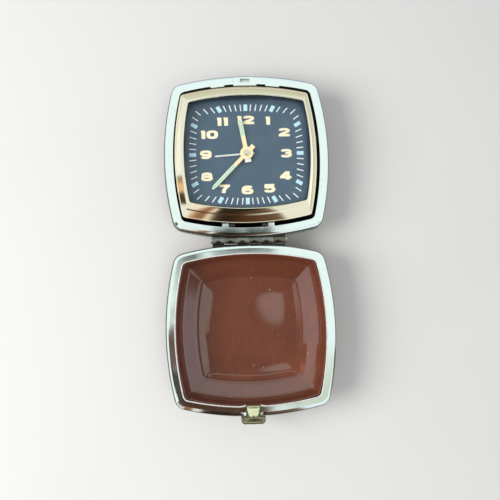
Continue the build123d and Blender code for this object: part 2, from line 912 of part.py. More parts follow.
# Front plate with the studs of the thumb wheel and the minute wheel
with BuildPart() as front_plate:
    column(centre, front_plate_under, front_plate_top, plate_radius, plate_sides)
    column(thumb_place, front_plate_top, thumb_wheel_top, stud_radius)
    column(motion_place, front_plate_top, minute_pinion_level + minute_pinion_height, minute_stud_radius)
    bored(centre, front_plate_under, front_plate_top, arbor_radius + running_gap)
    for place in key_places:
        bored(place, front_plate_under, front_plate_top, key_arbor_radius + running_gap)
    for place in staff_places:
        bored(place, front_plate_under, front_plate_top, staff_hole)
    for angle in pillar_angles:
        bored(polar(pillar_circle, angle), front_plate_under, front_plate_top, pillar_tenon + seat_gap)
write(front_plate, "front_plate")

with BuildPart() as back_plate:
    column(centre, back_plate_under, back_plate_top, plate_radius, plate_sides)
    boss_end = back_plate_under - regulator_drop - regulator_thickness
    column(balance_place, boss_end, back_plate_under, regulator_boss)
    bored(centre, back_plate_under, back_plate_top, arbor_radius + running_gap)
    for place in key_places:
        bored(place, back_plate_under, back_plate_top, key_arbor_radius + running_gap)
    for place in staff_places:
        bored(place, boss_end, back_plate_top, staff_hole)
    bored(stop_place, back_plate_under, back_plate_top, stop_stem_radius + running_gap)
    for angle in pillar_angles:
        bored(polar(pillar_circle, angle), back_plate_under, back_plate_top, pillar_tenon + seat_gap)
write(back_plate, "back_plate")

with BuildPart() as pillars:
    for angle in pillar_angles:
        place = polar(pillar_circle, angle)
        column(place, back_plate_top, front_plate_under, pillar_radius)
        column(place, back_plate_under - nut_height, front_plate_top, pillar_tenon)
write(pillars, "pillars")

with BuildPart() as pillar_nuts:
    for angle in pillar_angles:
        with BuildSketch(dial_plane(back_plate_under, polar(pillar_circle, angle))) as nut:
            RegularPolygon(nut_radius, nut_sides)
            RegularPolygon(pillar_tenon + seat_gap, round_sides, major_radius=False, mode=Mode.SUBTRACT)
        extrude(nut.sketch, amount=-nut_height)
write(pillar_nuts, "pillar_nuts")

# Back cover with its holes for the arbors, the stop button and the regulator
with BuildPart() as back_cover:
    cover_half = housing_floor_half - housing_wall - cover_gap
    cover_radius = side_radius - half_size + cover_half
    cover_outline = chorded(frame_plane(housing_bottom), cover_half, cover_half, cover_radius)
    extrude(cover_outline, amount=cover_thickness)
    bored(centre, housing_bottom, cover_top, arbor_radius + key_hole_gap)
    for place in key_places:
        bored(place, housing_bottom, cover_top, key_arbor_radius + key_hole_gap)
    bored(stop_place, housing_bottom, cover_top, stop_stem_radius + key_hole_gap)
    for angle in screw_angles:
        bored(polar(screw_circle, angle), housing_bottom, cover_top, screw_shank + running_gap)
    finger_sweep = 2 * regulator_arm * math.sin(math.radians(regulator_swing))
    with BuildSketch(dial_plane(housing_bottom, (balance_x, balance_y - regulator_arm))) as finger_way:
        Rectangle(finger_sweep + 4 * regulator_finger, 4 * regulator_finger)
    extrude(finger_way.sketch, amount=cover_thickness, mode=Mode.SUBTRACT)
write(back_cover, "back_cover")

with BuildPart() as back_cover_screws:
    for angle in screw_angles:
        place = polar(screw_circle, angle)
        column(place, housing_bottom - screw_head_height, housing_bottom, screw_head_radius, wheel_sides)
        column(place, housing_bottom, back_plate_under, screw_shank)
        with BuildSketch(dial_plane(housing_bottom - screw_head_height, place, angle)) as driver_slot:
            Rectangle(2 * screw_head_radius, hand_thickness)
        extrude(driver_slot.sketch, amount=screw_head_height / 2, mode=Mode.SUBTRACT)
write(back_cover_screws, "back_cover_screws")

# Centre arbor with its cannon pinion, and the wheels of the motion work
cannon_pitch, minute_wheel_pitch = mesh(motion_distance, cannon_teeth, minute_wheel_teeth)
minute_pinion_pitch, hour_wheel_pitch = mesh(motion_distance, minute_pinion_teeth, hour_wheel_teeth)
cannon_radius = arbor_radius + pipe_wall
with BuildPart() as centre_arbor:
    column(centre, key_top - knob_height / 2, minute_hand_level, arbor_radius)
    column(centre, minute_hand_level, arbor_top, arbor_radius, wheel_sides)
    column(centre, cannon_level, minute_hand_level + hand_thickness, cannon_radius)
    wheel(centre, cannon_level, minute_wheel_level + motion_wheel_height - cannon_level, cannon_pitch)
write(centre_arbor, "centre_arbor")

with BuildPart() as minute_wheel:
    wheel(motion_place, minute_wheel_level, motion_wheel_height, minute_wheel_pitch)
    column(motion_place, minute_wheel_level, minute_pinion_level + minute_pinion_height, minute_pinion_pitch)
    bored(motion_place, minute_wheel_level, arbor_top, minute_stud_radius + running_gap)
write(minute_wheel, "minute_wheel")

with BuildPart() as hour_wheel:
    wheel(centre, hour_wheel_level, motion_wheel_height, hour_wheel_pitch)
    column(centre, hour_wheel_level, hour_hand_level + hand_thickness, hour_pipe_outer)
    bored(centre, hour_wheel_level, arbor_top, hour_pipe_inner)
write(hour_wheel, "hour_wheel")

# Alarm setting: a wheel under the dial and the thumb wheel that shows at the edge
with BuildPart() as alarm_wheel:
    wheel(centre, set_gear_level, set_gear_height, set_pitch)
    column(centre, set_gear_level, alarm_hand_level + hand_thickness, alarm_pipe_outer)
    bored(centre, set_gear_level, arbor_top, alarm_pipe_inner)
write(alarm_wheel, "alarm_wheel")

with BuildPart() as alarm_thumb_wheel:
    knurl_plane = dial_plane(thumb_wheel_top - thumb_wheel_thickness, thumb_place)
    knurl_pitch = thumb_wheel_radius - thumb_tooth_height / 2
    extrude(toothed(knurl_plane, thumb_teeth, knurl_pitch, thumb_tooth_height), amount=thumb_wheel_thickness)
    column(thumb_place, set_gear_level, thumb_wheel_top, thumb_hub)
    wheel(thumb_place, set_gear_level, set_gear_height, set_pitch)
    bored(thumb_place, set_gear_level, arbor_top, stud_radius + running_gap)
write(alarm_thumb_wheel, "alarm_thumb_wheel")


def hand(level, angle, length, tail, width, tail_width, boss, pipe, name):
    """A clock hand: a blade that narrows to its tip, a tail, and a boss round its pipe."""
    with BuildPart() as blade_part:
        with BuildSketch(dial_plane(level, centre, 90 - angle)) as blade:
            with BuildLine():
                Polyline(
                    (0, width / 2),
                    (length - width, width / 2),
                    (length, width / 2 * hand_tip_share),
                    (length, -width / 2 * hand_tip_share),
                    (length - width, -width / 2),
                    (0, -width / 2),
                    close=True,
                )
            make_face()
            with Locations((-tail / 2, 0)):
                Rectangle(tail, tail_width)
            Circle(boss)
        extrude(blade.sketch, amount=hand_thickness)
        pipe_way = disc(dial_plane(level), pipe, round_sides, outside=True)
        extrude(pipe_way, amount=hand_thickness, mode=Mode.SUBTRACT)
    write(blade_part, name)


hand(
    minute_hand_level,
    minute_hand_angle,
    minute_hand_length,
    minute_hand_tail,
    minute_hand_width,
    minute_tail_width,
    minute_boss,
    cannon_radius + hand_gap,
    "minute_hand",
)
hand(
    hour_hand_level,
    hour_hand_angle,
    hour_hand_length,
    hour_hand_tail,
    hour_hand_width,
    hour_tail_width,
    hour_boss,
    hour_pipe_outer + hand_gap,
    "hour_hand",
)
hand(
    alarm_hand_level,
    alarm_hand_angle,
    alarm_hand_length,
    alarm_hand_tail,
    alarm_hand_width,
    alarm_hand_width,
    alarm_boss,
    alarm_pipe_outer + hand_gap,
    "alarm_hand",
)

# Going train: each wheel with its pinion, beside the next
barrel_pitch, centre_pinion_pitch = mesh(barrel_distance, barrel_teeth, centre_pinion_teeth)
centre_wheel_pitch, third_pinion_pitch = mesh(third_distance, centre_wheel_teeth, third_pinion_teeth)
third_wheel_pitch, fourth_pinion_pitch = mesh(fourth_distance, third_wheel_teeth, fourth_pinion_teeth)
fourth_wheel_pitch, escape_pinion_pitch = mesh(escape_distance, fourth_wheel_teeth, escape_pinion_teeth)

with BuildPart() as centre_wheel:
    wheel(centre, centre_wheel_level, train_wheel_height, centre_wheel_pitch)
    column(centre, centre_pinion_level, centre_wheel_level, centre_pinion_pitch)
    bored(centre, centre_pinion_level, arbor_top, arbor_radius + running_gap)
write(centre_wheel, "centre_wheel")


def pinion(place, driver_level, pitch):
    """A pinion as tall as its driver and a little more."""
    margin = (pinion_height - train_wheel_height) / 2
    column(place, driver_level - margin, driver_level - margin + pinion_height, pitch)


with BuildPart() as third_wheel:
    staff(third_place)
    pinion(third_place, centre_wheel_level, third_pinion_pitch)
    wheel(third_place, third_wheel_level, train_wheel_height, third_wheel_pitch)
write(third_wheel, "third_wheel")

with BuildPart() as fourth_wheel:
    staff(fourth_place)
    pinion(fourth_place, third_wheel_level, fourth_pinion_pitch)
    wheel(fourth_place, fourth_wheel_level, train_wheel_height, fourth_wheel_pitch)
write(fourth_wheel, "fourth_wheel")

with BuildPart() as escape_wheel:
    staff(escape_place)
    pinion(escape_place, fourth_wheel_level, escape_pinion_pitch)
    escape_plane = dial_plane(escape_wheel_level, escape_place, escape_angle)
    extrude(toothed(escape_plane, escape_teeth, escape_radius, escape_tooth), amount=train_wheel_height)
write(escape_wheel, "escape_wheel")

# Spring barrels: a toothed band round a hollow drum, and the coiled spring inside
alarm_pitch, strike_pitch = mesh(strike_distance, alarm_barrel_teeth, strike_pinion_teeth)
for name, place, pitch in (("time", barrel_place, barrel_pitch), ("alarm", alarm_place, alarm_pitch)):
    top = barrel_level + barrel_height
    drum = pitch - barrel_step
    with BuildPart() as spring_barrel:
        column(place, barrel_level, top - barrel_tooth_band, drum, wheel_sides)
        wheel(place, top - barrel_tooth_band, barrel_tooth_band, pitch)
        room = disc(dial_plane(barrel_level + barrel_wall, place), drum - barrel_wall, wheel_sides)
        extrude(room, amount=barrel_height - 2 * barrel_wall, mode=Mode.SUBTRACT)
        bored(place, barrel_level, top, key_arbor_radius + pipe_gap)
    write(spring_barrel, f"{name}_barrel")
    coil_room = drum - barrel_wall - spring_margin - mainspring_inner
    spring_level = barrel_level + (barrel_height - mainspring_height) / 2
    with BuildPart() as mainspring:
        coil_plane = dial_plane(spring_level, place)
        coil_pitch = coil_room / mainspring_turns
        coil = spiral(coil_plane, mainspring_inner, coil_pitch, mainspring_turns, mainspring_strip)
        extrude(coil, amount=mainspring_height)
    write(mainspring, f"{name}_mainspring")

# Escapement: a lever with two upright pins beside the escape wheel, and its fork at the balance
with BuildPart() as pallet_lever:
    to_wheel = math.degrees(math.atan2(escape_place[1] - lever_y, escape_place[0] - lever_x))
    to_balance = math.degrees(math.atan2(balance_y - lever_y, balance_x - lever_x))
    pin_circle = escape_radius + escape_tooth / 2 + pallet_gap + pallet_pin_radius
    wheel_reach = math.dist(escape_place, lever_place)
    pin_reach = wheel_reach - math.sqrt(pin_circle**2 - pallet_spread**2)
    fork_reach = math.dist(balance_place, lever_place) - roller_radius - pallet_gap
    staff(lever_place)
    with BuildSketch(dial_plane(lever_level, lever_place, to_wheel)) as pallet_bar:
        RegularPolygon(2 * staff_radius, round_sides)
        with Locations((pin_reach / 2, 0)):
            Rectangle(pin_reach, lever_width)
        with Locations((pin_reach, 0)):
            Rectangle(lever_width, 2 * pallet_spread + lever_width)
    extrude(pallet_bar.sketch, amount=train_wheel_height)
    with BuildSketch(dial_plane(lever_level, lever_place, to_balance)) as fork:
        with Locations((fork_reach / 2, 0)):
            Rectangle(fork_reach, lever_width)
    extrude(fork.sketch, amount=train_wheel_height)
    with BuildSketch(dial_plane(lever_level, lever_place, to_wheel)) as pallet_pins:
        with Locations((pin_reach, pallet_spread), (pin_reach, -pallet_spread)):
            RegularPolygon(pallet_pin_radius, round_sides)
    pin_top = escape_wheel_level + train_wheel_height
    extrude(pallet_pins.sketch, amount=pin_top - lever_level)
write(pallet_lever, "pallet_lever")

with BuildPart() as balance_wheel:
    staff(balance_place)
    with BuildSketch(dial_plane(balance_level, balance_place)) as balance_rim_shape:
        RegularPolygon(balance_radius, wheel_sides)
        RegularPolygon(balance_radius - balance_rim, wheel_sides, mode=Mode.SUBTRACT)
        Rectangle(2 * balance_radius - balance_rim, spoke_width)
    extrude(balance_rim_shape.sketch, amount=balance_height)
    column(balance_place, lever_level, lever_level + train_wheel_height, roller_radius)
write(balance_wheel, "balance_wheel")

with BuildPart() as hairspring:
    coil_plane = dial_plane(hairspring_level, balance_place)
    coil = spiral(coil_plane, hairspring_inner, hairspring_pitch, hairspring_turns, hairspring_strip)
    extrude(coil, amount=hairspring_height)
write(hairspring, "hairspring")

# Alarm work: a star wheel driven by the alarm barrel, and the hammer it rocks
with BuildPart() as strike_wheel:
    staff(strike_place)
    band_level = barrel_level + barrel_height - barrel_tooth_band
    column(strike_place, band_level, band_level + barrel_tooth_band, strike_pitch)
    star_plane = dial_plane(strike_wheel_level, strike_place, strike_angle + 180)
    star = toothed(star_plane, strike_wheel_teeth, strike_wheel_radius, strike_tooth)
    extrude(star, amount=train_wheel_height)
write(strike_wheel, "strike_wheel")

with BuildPart() as alarm_hammer:
    staff(hammer_place)
    to_strike = math.degrees(math.atan2(strike_place[1] - hammer_y, strike_place[0] - hammer_x))
    star_tip = strike_wheel_radius + strike_tooth / 2
    verge_reach = math.dist(strike_place, hammer_place) - star_tip - pallet_gap
    with BuildSketch(dial_plane(strike_wheel_level, hammer_place, to_strike)) as verge:
        RegularPolygon(2 * staff_radius, round_sides)
        with Locations((verge_reach / 2, 0)):
            Rectangle(verge_reach, hammer_width)
    extrude(verge.sketch, amount=train_wheel_height)
    with BuildSketch(dial_plane(strike_wheel_level, hammer_place, hammer_angle)) as handle:
        with Locations((hammer_arm / 2, 0)):
            Rectangle(hammer_arm, hammer_width)
    extrude(handle.sketch, amount=train_wheel_height)
    head_place = step_from(hammer_place, hammer_arm, hammer_angle)
    column(head_place, hammer_level, hammer_level + hammer_head_height, hammer_head_radius)
write(alarm_hammer, "alarm_hammer")

# Winding keys: a hub with two wings outside the cover and an arbor into its barrel
for name, place in (("time", barrel_place), ("alarm", alarm_place)):
    with BuildPart() as key:
        column(place, key_top, front_plate_top - plate_gap, key_arbor_radius)
        column(place, key_top - key_height, key_top, key_hub_radius, wheel_sides)
        with BuildSketch(dial_plane(key_top - key_height, place, key_turn)) as wings:
            Rectangle(2 * key_wing_length, key_wing_width)
            chamfer(wings.vertices(), length=key_wing_corner)
        extrude(wings.sketch, amount=key_height)
    write(key, f"{name}_winding_key")

with BuildPart() as setting_knob:
    knob_plane = dial_plane(key_top - knob_height)
    extrude(toothed(knob_plane, knob_teeth, knob_radius, knob_tooth), amount=knob_height)
    bored(centre, key_top - knob_height / 2 - seat_gap, key_top, arbor_radius + seat_gap)
write(setting_knob, "setting_knob")

with BuildPart() as alarm_stop_button:
    head_top = housing_bottom - stop_travel - cover_gap
    column(stop_place, head_top, back_plate_top + cover_gap, stop_stem_radius)
    column(stop_place, head_top - stop_head_height, head_top, stop_head_radius, wheel_sides)
write(alarm_stop_button, "alarm_stop_button")

with BuildPart() as regulator_lever:
    regulator_top = back_plate_under - regulator_drop
    finger_place = (balance_x, balance_y - regulator_arm)
    with BuildSketch(dial_plane(regulator_top, balance_place)) as regulator:
        RegularPolygon(2 * regulator_width, round_sides)
        with Locations((0, -regulator_arm / 2)):
            Rectangle(regulator_width, regulator_arm)
        with Locations((0, -regulator_arm)):
            RegularPolygon(regulator_finger, round_sides)
        RegularPolygon(regulator_boss + running_gap, round_sides, major_radius=False, mode=Mode.SUBTRACT)
    extrude(regulator.sketch, amount=-regulator_thickness)
    finger_end = regulator_top - regulator_thickness - regulator_finger_length
    column(finger_place, finger_end, regulator_top, regulator_finger)
write(regulator_lever, "regulator_lever")
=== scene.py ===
"""Looks of a folding travel alarm clock that lies open flat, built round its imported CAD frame.

X runs to the right of the dial, Y towards its 12 and Z up from the table. Sizes in the classes
are in millimetres, and meshes are made in metres, where the CAD bodies are.
"""

import logging
import math
from collections.abc import Iterable, Mapping, Sequence
from dataclasses import dataclass, field
from enum import Enum

import bpy
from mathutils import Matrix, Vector


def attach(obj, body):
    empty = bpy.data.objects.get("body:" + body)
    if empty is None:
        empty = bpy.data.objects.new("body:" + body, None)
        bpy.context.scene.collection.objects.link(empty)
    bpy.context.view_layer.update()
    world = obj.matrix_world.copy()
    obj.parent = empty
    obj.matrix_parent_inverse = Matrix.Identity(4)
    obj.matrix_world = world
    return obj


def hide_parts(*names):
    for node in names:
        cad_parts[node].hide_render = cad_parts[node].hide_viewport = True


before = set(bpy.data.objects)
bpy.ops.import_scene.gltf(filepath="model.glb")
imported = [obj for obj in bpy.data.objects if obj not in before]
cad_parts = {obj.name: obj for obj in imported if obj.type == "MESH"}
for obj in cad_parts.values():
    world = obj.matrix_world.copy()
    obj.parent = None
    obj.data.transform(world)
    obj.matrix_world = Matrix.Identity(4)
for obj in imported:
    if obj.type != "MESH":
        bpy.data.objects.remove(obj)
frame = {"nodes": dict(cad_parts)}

LOG = logging.getLogger("travel_clock")
MM = 0.001
DIAL_Y = 36.6
ROUND_STEPS = 8

Rgb = tuple[float, float, float]
Point2 = tuple[float, float]
Point3 = tuple[float, float, float]


def srgb(red: float, green: float, blue: float) -> Rgb:
    """Turns a colour in 0 to 255 steps into linear light.

    Args:
        red: The red share, 0 to 255.
        green: The green share, 0 to 255.
        blue: The blue share, 0 to 255.

    Returns:
        The three linear shares.
    """

    def linear(share: float) -> float:
        """One share in linear light."""
        level = share / 255
        return level / 12.92 if level <= 0.04045 else ((level + 0.055) / 1.055) ** 2.4

    return linear(red), linear(green), linear(blue)


def mixed(start: float, end: float, share: float) -> float:
    """The value at a share of the way from start to end."""
    return start + (end - start) * share


# ---------------------------------------------------------------------------------------------
# Shader maths
# ---------------------------------------------------------------------------------------------


class Signal:
    """A number that varies over a surface, used in plain arithmetic."""

    def __init__(self, graph: "Graph", socket: bpy.types.NodeSocket) -> None:
        """Wraps a number socket of a graph."""
        self.graph = graph
        self.socket = socket

    def _maths(self, operation: str, *values: "Signal | float") -> "Signal":
        """The result of one Math node with these inputs, in order."""
        node = self.graph.add("ShaderNodeMath", {"operation": operation}, dict(enumerate(values)))
        return Signal(self.graph, node.outputs[0])

    def __add__(self, other: "Signal | float") -> "Signal":
        """The sum."""
        return self._maths("ADD", self, other)

    def __radd__(self, other: float) -> "Signal":
        """The sum with a number on the left."""
        return self._maths("ADD", other, self)

    def __sub__(self, other: "Signal | float") -> "Signal":
        """The difference."""
        return self._maths("SUBTRACT", self, other)

    def __rsub__(self, other: float) -> "Signal":
        """The difference from a number on the left."""
        return self._maths("SUBTRACT", other, self)

    def __mul__(self, other: "Signal | float") -> "Signal":
        """The product."""
        return self._maths("MULTIPLY", self, other)

    def __rmul__(self, other: float) -> "Signal":
        """The product with a number on the left."""
        return self._maths("MULTIPLY", other, self)

    def __truediv__(self, other: "Signal | float") -> "Signal":
        """The quotient."""
        return self._maths("DIVIDE", self, other)

    def __pow__(self, other: float) -> "Signal":
        """The power."""
        return self._maths("POWER", self, other)

    def larger(self, other: "Signal | float") -> "Signal":
        """The larger of the two."""
        return self._maths("MAXIMUM", self, other)

    def step(self, low: float, high: float) -> "Signal":
        """A soft step from 0 at low to 1 at high, which may run downwards.

        Args:
            low: Where the step gives 0.
            high: Where the step gives 1.

        Returns:
            The stepped signal.
        """
        node = self.graph.add(
            "ShaderNodeMapRange",
            {"interpolation_type": "SMOOTHSTEP", "clamp": True},
            {"Value": self, "From Min": low, "From Max": high, "To Min": 0.0, "To Max": 1.0},
        )
        return Signal(self.graph, node.outputs[0])


class Tint:
    """A colour that varies over a surface."""

    def __init__(self, graph: "Graph", socket: bpy.types.NodeSocket) -> None:
        """Wraps a colour socket of a graph."""
        self.graph = graph
        self.socket = socket

    def towards(self, other: "Tint | Rgb", share: "Signal | float") -> "Tint":
        """This colour turned into another by a share of 0 to 1."""
        return self.graph.blend(self, other, share)


class Graph:
    """The nodes of one material or of the world."""

    def __init__(self, tree: bpy.types.NodeTree) -> None:
        """Empties a node tree and starts again in it.

        Args:
            tree: The node tree.
        """
        self.tree = tree
        tree.nodes.clear()
        self._place: bpy.types.NodeSocket | None = None

    def add(
        self,
        kind: str,
        settings: Mapping[str, object] | None = None,
        inputs: Mapping[str | int, object] | None = None,
    ) -> bpy.types.Node:
        """Adds a node: its settings first, then its inputs.

        Args:
            kind: The node's type name.
            settings: The node's own properties, and a ramp's stops.
            inputs: Values or links, by socket name or number.

        Returns:
            The new node.
        """
        node = self.tree.nodes.new(kind)
        for name, value in (settings or {}).items():
            if name == "stops":
                self._set_stops(node, value)
            else:
                setattr(node, name, value)
        for key, value in (inputs or {}).items():
            socket = node.inputs[key]
            if isinstance(value, (Signal, Tint)):
                self.tree.links.new(value.socket, socket)
            elif isinstance(value, bpy.types.NodeSocket):
                self.tree.links.new(value, socket)
            elif socket.type == "RGBA":
                socket.default_value = (*value, 1.0)
            else:
                socket.default_value = value
        return node

    @staticmethod
    def _set_stops(node: bpy.types.Node, stops: Sequence[tuple[float, Rgb]]) -> None:
        """Sets the stops of a colour ramp.

        Args:
            node: The ramp.
            stops: Places from 0 to 1 and their colours.
        """
        elements = node.color_ramp.elements
        while len(elements) < len(stops):
            elements.new(1.0)
        for element, (place, colour) in zip(elements, stops):
            element.position = place
            element.color = (*colour, 1.0)

    def place(self) -> bpy.types.NodeSocket:
        """The object's own coordinates, in metres.

        Returns:
            The coordinates' socket.
        """
        if self._place is None:
            self._place = self.add("ShaderNodeTexCoord").outputs["Object"]
        return self._place

    def stretched(self, scale: Point3, turn: float = 0.0) -> bpy.types.NodeSocket:
        """Object coordinates, stretched along the axes and turned about Z.

        Args:
            scale: The scale along each axis.
            turn: The turn about Z, in degrees.

        Returns:
            The mapped coordinates.
        """
        turned = (0.0, 0.0, math.radians(turn))
        inputs = {"Vector": self.place(), "Rotation": turned, "Scale": scale}
        return self.add("ShaderNodeMapping", {}, inputs).outputs[0]

    def noise(self, size: float, detail: float = 3.0, place: bpy.types.NodeSocket | None = None) -> Signal:
        """Cloudy noise of 0 to 1, whose clouds have a size in millimetres and a detail in layers."""
        inputs = {"Vector": place or self.place(), "Scale": 1 / (size * MM), "Detail": detail}
        return Signal(self, self.add("ShaderNodeTexNoise", {}, inputs).outputs[0])

    def cells(self, size: float) -> Signal:
        """The distance to the nearest of many points strewn a size apart, in such sizes."""
        inputs = {"Vector": self.place(), "Scale": 1 / (size * MM)}
        return Signal(self, self.add("ShaderNodeTexVoronoi", {}, inputs).outputs["Distance"])

    def axes(self, vector: bpy.types.NodeSocket | None = None) -> tuple[Signal, Signal, Signal]:
        """The three parts of a vector, the object's own coordinates unless one is given."""
        node = self.add("ShaderNodeSeparateXYZ", {}, {0: vector or self.place()})
        return tuple(Signal(self, output) for output in node.outputs)

    def colour(self, value: Rgb) -> Tint:
        """A constant colour that others are mixed into.

        Args:
            value: The colour.

        Returns:
            The constant.
        """
        node = self.add("ShaderNodeRGB")
        node.outputs[0].default_value = (*value, 1.0)
        return Tint(self, node.outputs[0])

    def blend(self, start: "Tint | Rgb", end: "Tint | Rgb", share: Signal | float) -> Tint:
        """Mixes two colours.

        Args:
            start: The colour at a share of 0.
            end: The colour at a share of 1.
            share: The share.

        Returns:
            The mixed colour.
        """
        settings = {"data_type": "RGBA", "blend_type": "MIX"}
        node = self.add("ShaderNodeMix", settings, {0: share, 6: start, 7: end})
        return Tint(self, node.outputs[2])

    def relief(self, height: Signal, depth: float, strength: float = 1.0) -> bpy.types.NodeSocket:
        """A bumped normal from heights of 0 to 1, where 1 stands for a depth in millimetres."""
        inputs = {"Height": height, "Distance": depth * MM, "Strength": strength}
        return self.add("ShaderNodeBump", {}, inputs).outputs[0]


def new_material(name: str) -> tuple[bpy.types.Material, Graph]:
    """An empty node material and its graph.

    Args:
        name: The material's name.

    Returns:
        The material and the graph of its nodes.
    """
    material = bpy.data.materials.new(name)
    material.use_nodes = True
    return material, Graph(material.node_tree)


def close_surface(graph: Graph, inputs: Mapping[str, object]) -> None:
    """Ends a material in a Principled shader with these inputs."""
    shader = graph.add("ShaderNodeBsdfPrincipled", {}, inputs)
    graph.add("ShaderNodeOutputMaterial", {}, {"Surface": shader.outputs[0]})


# ---------------------------------------------------------------------------------------------
# Finishes
# ---------------------------------------------------------------------------------------------


DUST_COLOUR = srgb(214, 190, 176)


class Grain(Enum):
    """Which way the fine polishing marks of a metal run."""

    NONE = (1.0, 1.0, 1.0)
    ALONG_X = (0.06, 1.0, 1.0)
    ALONG_Y = (1.0, 0.06, 1.0)


@dataclass(frozen=True)
class PlatedMetal:
    """Plated metal: polished, with cloudy gloss, hairline marks, small dull spots and specks.

    Attributes:
        name: The material's name.
        colour: The plating's colour.
        worn: The colour of its dull spots.
        gloss: Roughness where it is bright.
        cloud: How much rougher the clouds are.
        spots: How much of it is dull, 0 to 1.
        depth: Depth of the fine marks, in millimetres.
        grain: Which way the marks run.
        specks: Whether tiny dark specks lie on it.
        foot: The height under which it is painted dark as shade, in millimetres, or None.
        foot_shade_colour: The painted shade colour under that height.
    """

    name: str
    colour: Rgb
    worn: Rgb
    gloss: float = 0.12
    cloud: float = 0.1
    spots: float = 0.3
    depth: float = 0.004
    grain: Grain = Grain.NONE
    specks: bool = False
    foot: float | None = None
    foot_shade_colour: Rgb = (0.035, 0.035, 0.03)

    def build(self) -> bpy.types.Material:
        """Makes the finish.

        Returns:
            The material.
        """
        material, graph = new_material(self.name)
        clouds = graph.noise(6.0, 4.0)
        fine = graph.noise(0.5, 3.0, graph.stretched(self.grain.value))
        dull = (clouds * 0.6 + fine * 0.4).step(0.72 - 0.3 * self.spots, 0.8)
        base = graph.blend(self.colour, self.worn, dull)
        if self.specks:
            dots = graph.cells(2.6).step(0.085, 0.05) * graph.noise(9.0, 1.0).step(0.45, 0.6)
            base = base.towards(tuple(0.25 * share for share in self.worn), dots)
        # Painted shade: under the foot height the plating turns dark, standing in for the shade on lower sides and
        # undersides.
        if self.foot is not None:
            height = graph.axes()[2]
            base = base.towards(self.foot_shade_colour, height.step(self.foot * MM, (self.foot - 0.15) * MM))
        inputs = {
            "Base Color": base,
            "Metallic": 1.0,
            "Roughness": clouds.step(0.35, 0.75) * self.cloud + dull * 0.18 + self.gloss,
            "Normal": graph.relief(fine, self.depth, 0.5),
        }
        close_surface(graph, inputs)
        return material


@dataclass(frozen=True)
class MouldedPlastic:
    """Moulded plastic: glossy or dull, faintly streaked, with a pebbled or smooth skin.

    Attributes:
        name: The material's name.
        colour: The plastic's colour.
        shade: The colour of its darker streaks.
        gloss: Roughness of its skin.
        pebble: Size of the skin's pebbles, in millimetres.
        depth: Depth of the pebbles, in millimetres.
        dust: How much pale dust lies on it, 0 to 1.
        lacquer: Strength of a clear coat.
        lacquer_index: The clear coat's index of refraction.
    """

    name: str
    colour: Rgb
    shade: Rgb
    gloss: float = 0.35
    pebble: float = 0.5
    depth: float = 0.01
    dust: float = 0.0
    lacquer: float = 0.0
    lacquer_index: float = 1.5

    def build(self) -> bpy.types.Material:
        """Makes the finish.

        Returns:
            The material.
        """
        material, graph = new_material(self.name)
        clouds = graph.noise(14.0, 4.0)
        streaks = graph.noise(1.6, 3.0, graph.stretched((1.0, 0.25, 1.0), 20.0))
        base = graph.blend(self.colour, self.shade, (clouds * 0.7 + streaks * 0.3).step(0.35, 0.68))
        rough = streaks.step(0.4, 0.8) * 0.08 + self.gloss
        if self.dust > 0:
            few = graph.noise(7.0, 1.0).step(0.62 - 0.2 * self.dust, 0.7)
            dots = graph.cells(2.9).step(0.1, 0.06) * few
            base = base.towards(DUST_COLOUR, dots * 0.8)
            rough = rough + dots * 0.4
        pebbles = graph.cells(self.pebble) * 0.7 + graph.noise(self.pebble, 2.0) * 0.3
        inputs = {
            "Base Color": base,
            "Roughness": rough,
            "Coat Weight": self.lacquer,
            "Coat Roughness": 0.03,
            "Coat IOR": self.lacquer_index,
            "Normal": graph.relief(pebbles, self.depth, 0.6),
        }
        close_surface(graph, inputs)
        return material


@dataclass(frozen=True)
class SatinPaint:
    """Satin paint or print: a fine even film with a little unevenness in colour and gloss.

    Attributes:
        name: The material's name.
        colour: The paint's colour.
        shade: The colour of its thinner places.
        gloss: Its roughness.
        metal: How metallic it is, 0 to 1.
        size: The size of its unevenness, in millimetres.
        depth: The depth of its skin, in millimetres.
    """

    name: str
    colour: Rgb
    shade: Rgb
    gloss: float = 0.45
    metal: float = 0.0
    size: float = 1.2
    depth: float = 0.003

    def build(self) -> bpy.types.Material:
        """Makes the finish.

        Returns:
            The material.
        """
        material, graph = new_material(self.name)
        patches = graph.noise(self.size, 3.0)
        inputs = {
            "Base Color": graph.blend(self.colour, self.shade, patches.step(0.4, 0.7)),
            "Metallic": self.metal,
            "Roughness": patches * 0.12 + self.gloss,
            "Normal": graph.relief(graph.noise(0.25, 2.0), self.depth, 0.5),
        }
        close_surface(graph, inputs)
        return material


@dataclass(frozen=True)
class DialLacquer:
    """Blue-grey metallic lacquer of the dial, a little darker towards its border.

    Attributes:
        name: The material's name.
        colour: The colour over the middle.
        border: The painted shade colour at the border.
        centre_y: The Y of the dial's centre, in millimetres.
        reach: The half widths at which the border is darkest, in millimetres.
    """

    name: str
    colour: Rgb
    border: Rgb
    centre_y: float
    reach: Point2 = (25.6, 23.4)

    def build(self) -> bpy.types.Material:
        """Makes the finish.

        Returns:
            The material.
        """
        material, graph = new_material(self.name)
        x, y, _ = graph.axes()
        across = x / (self.reach[0] * MM)
        along = (y - self.centre_y * MM) / (self.reach[1] * MM)
        # Painted shade: the lacquer turns to the border colour towards its edge, standing in for the bezel's shadow.
        rim = (across**6.0 + along**6.0).step(0.62, 1.0)
        brushed = graph.noise(0.35, 2.0, graph.stretched((1.0, 0.03, 1.0)))
        base = graph.blend(self.colour, self.border, rim)
        light = tuple(min(1.0, share * 1.12) for share in self.colour)
        base = base.towards(light, brushed.step(0.5, 0.75) * (1 - rim) * 0.5)
        inputs = {
            "Base Color": base,
            "Metallic": 0.35,
            "Roughness": brushed * 0.15 + 0.38,
            "Normal": graph.relief(brushed, 0.002, 0.4),
        }
        close_surface(graph, inputs)
        return material


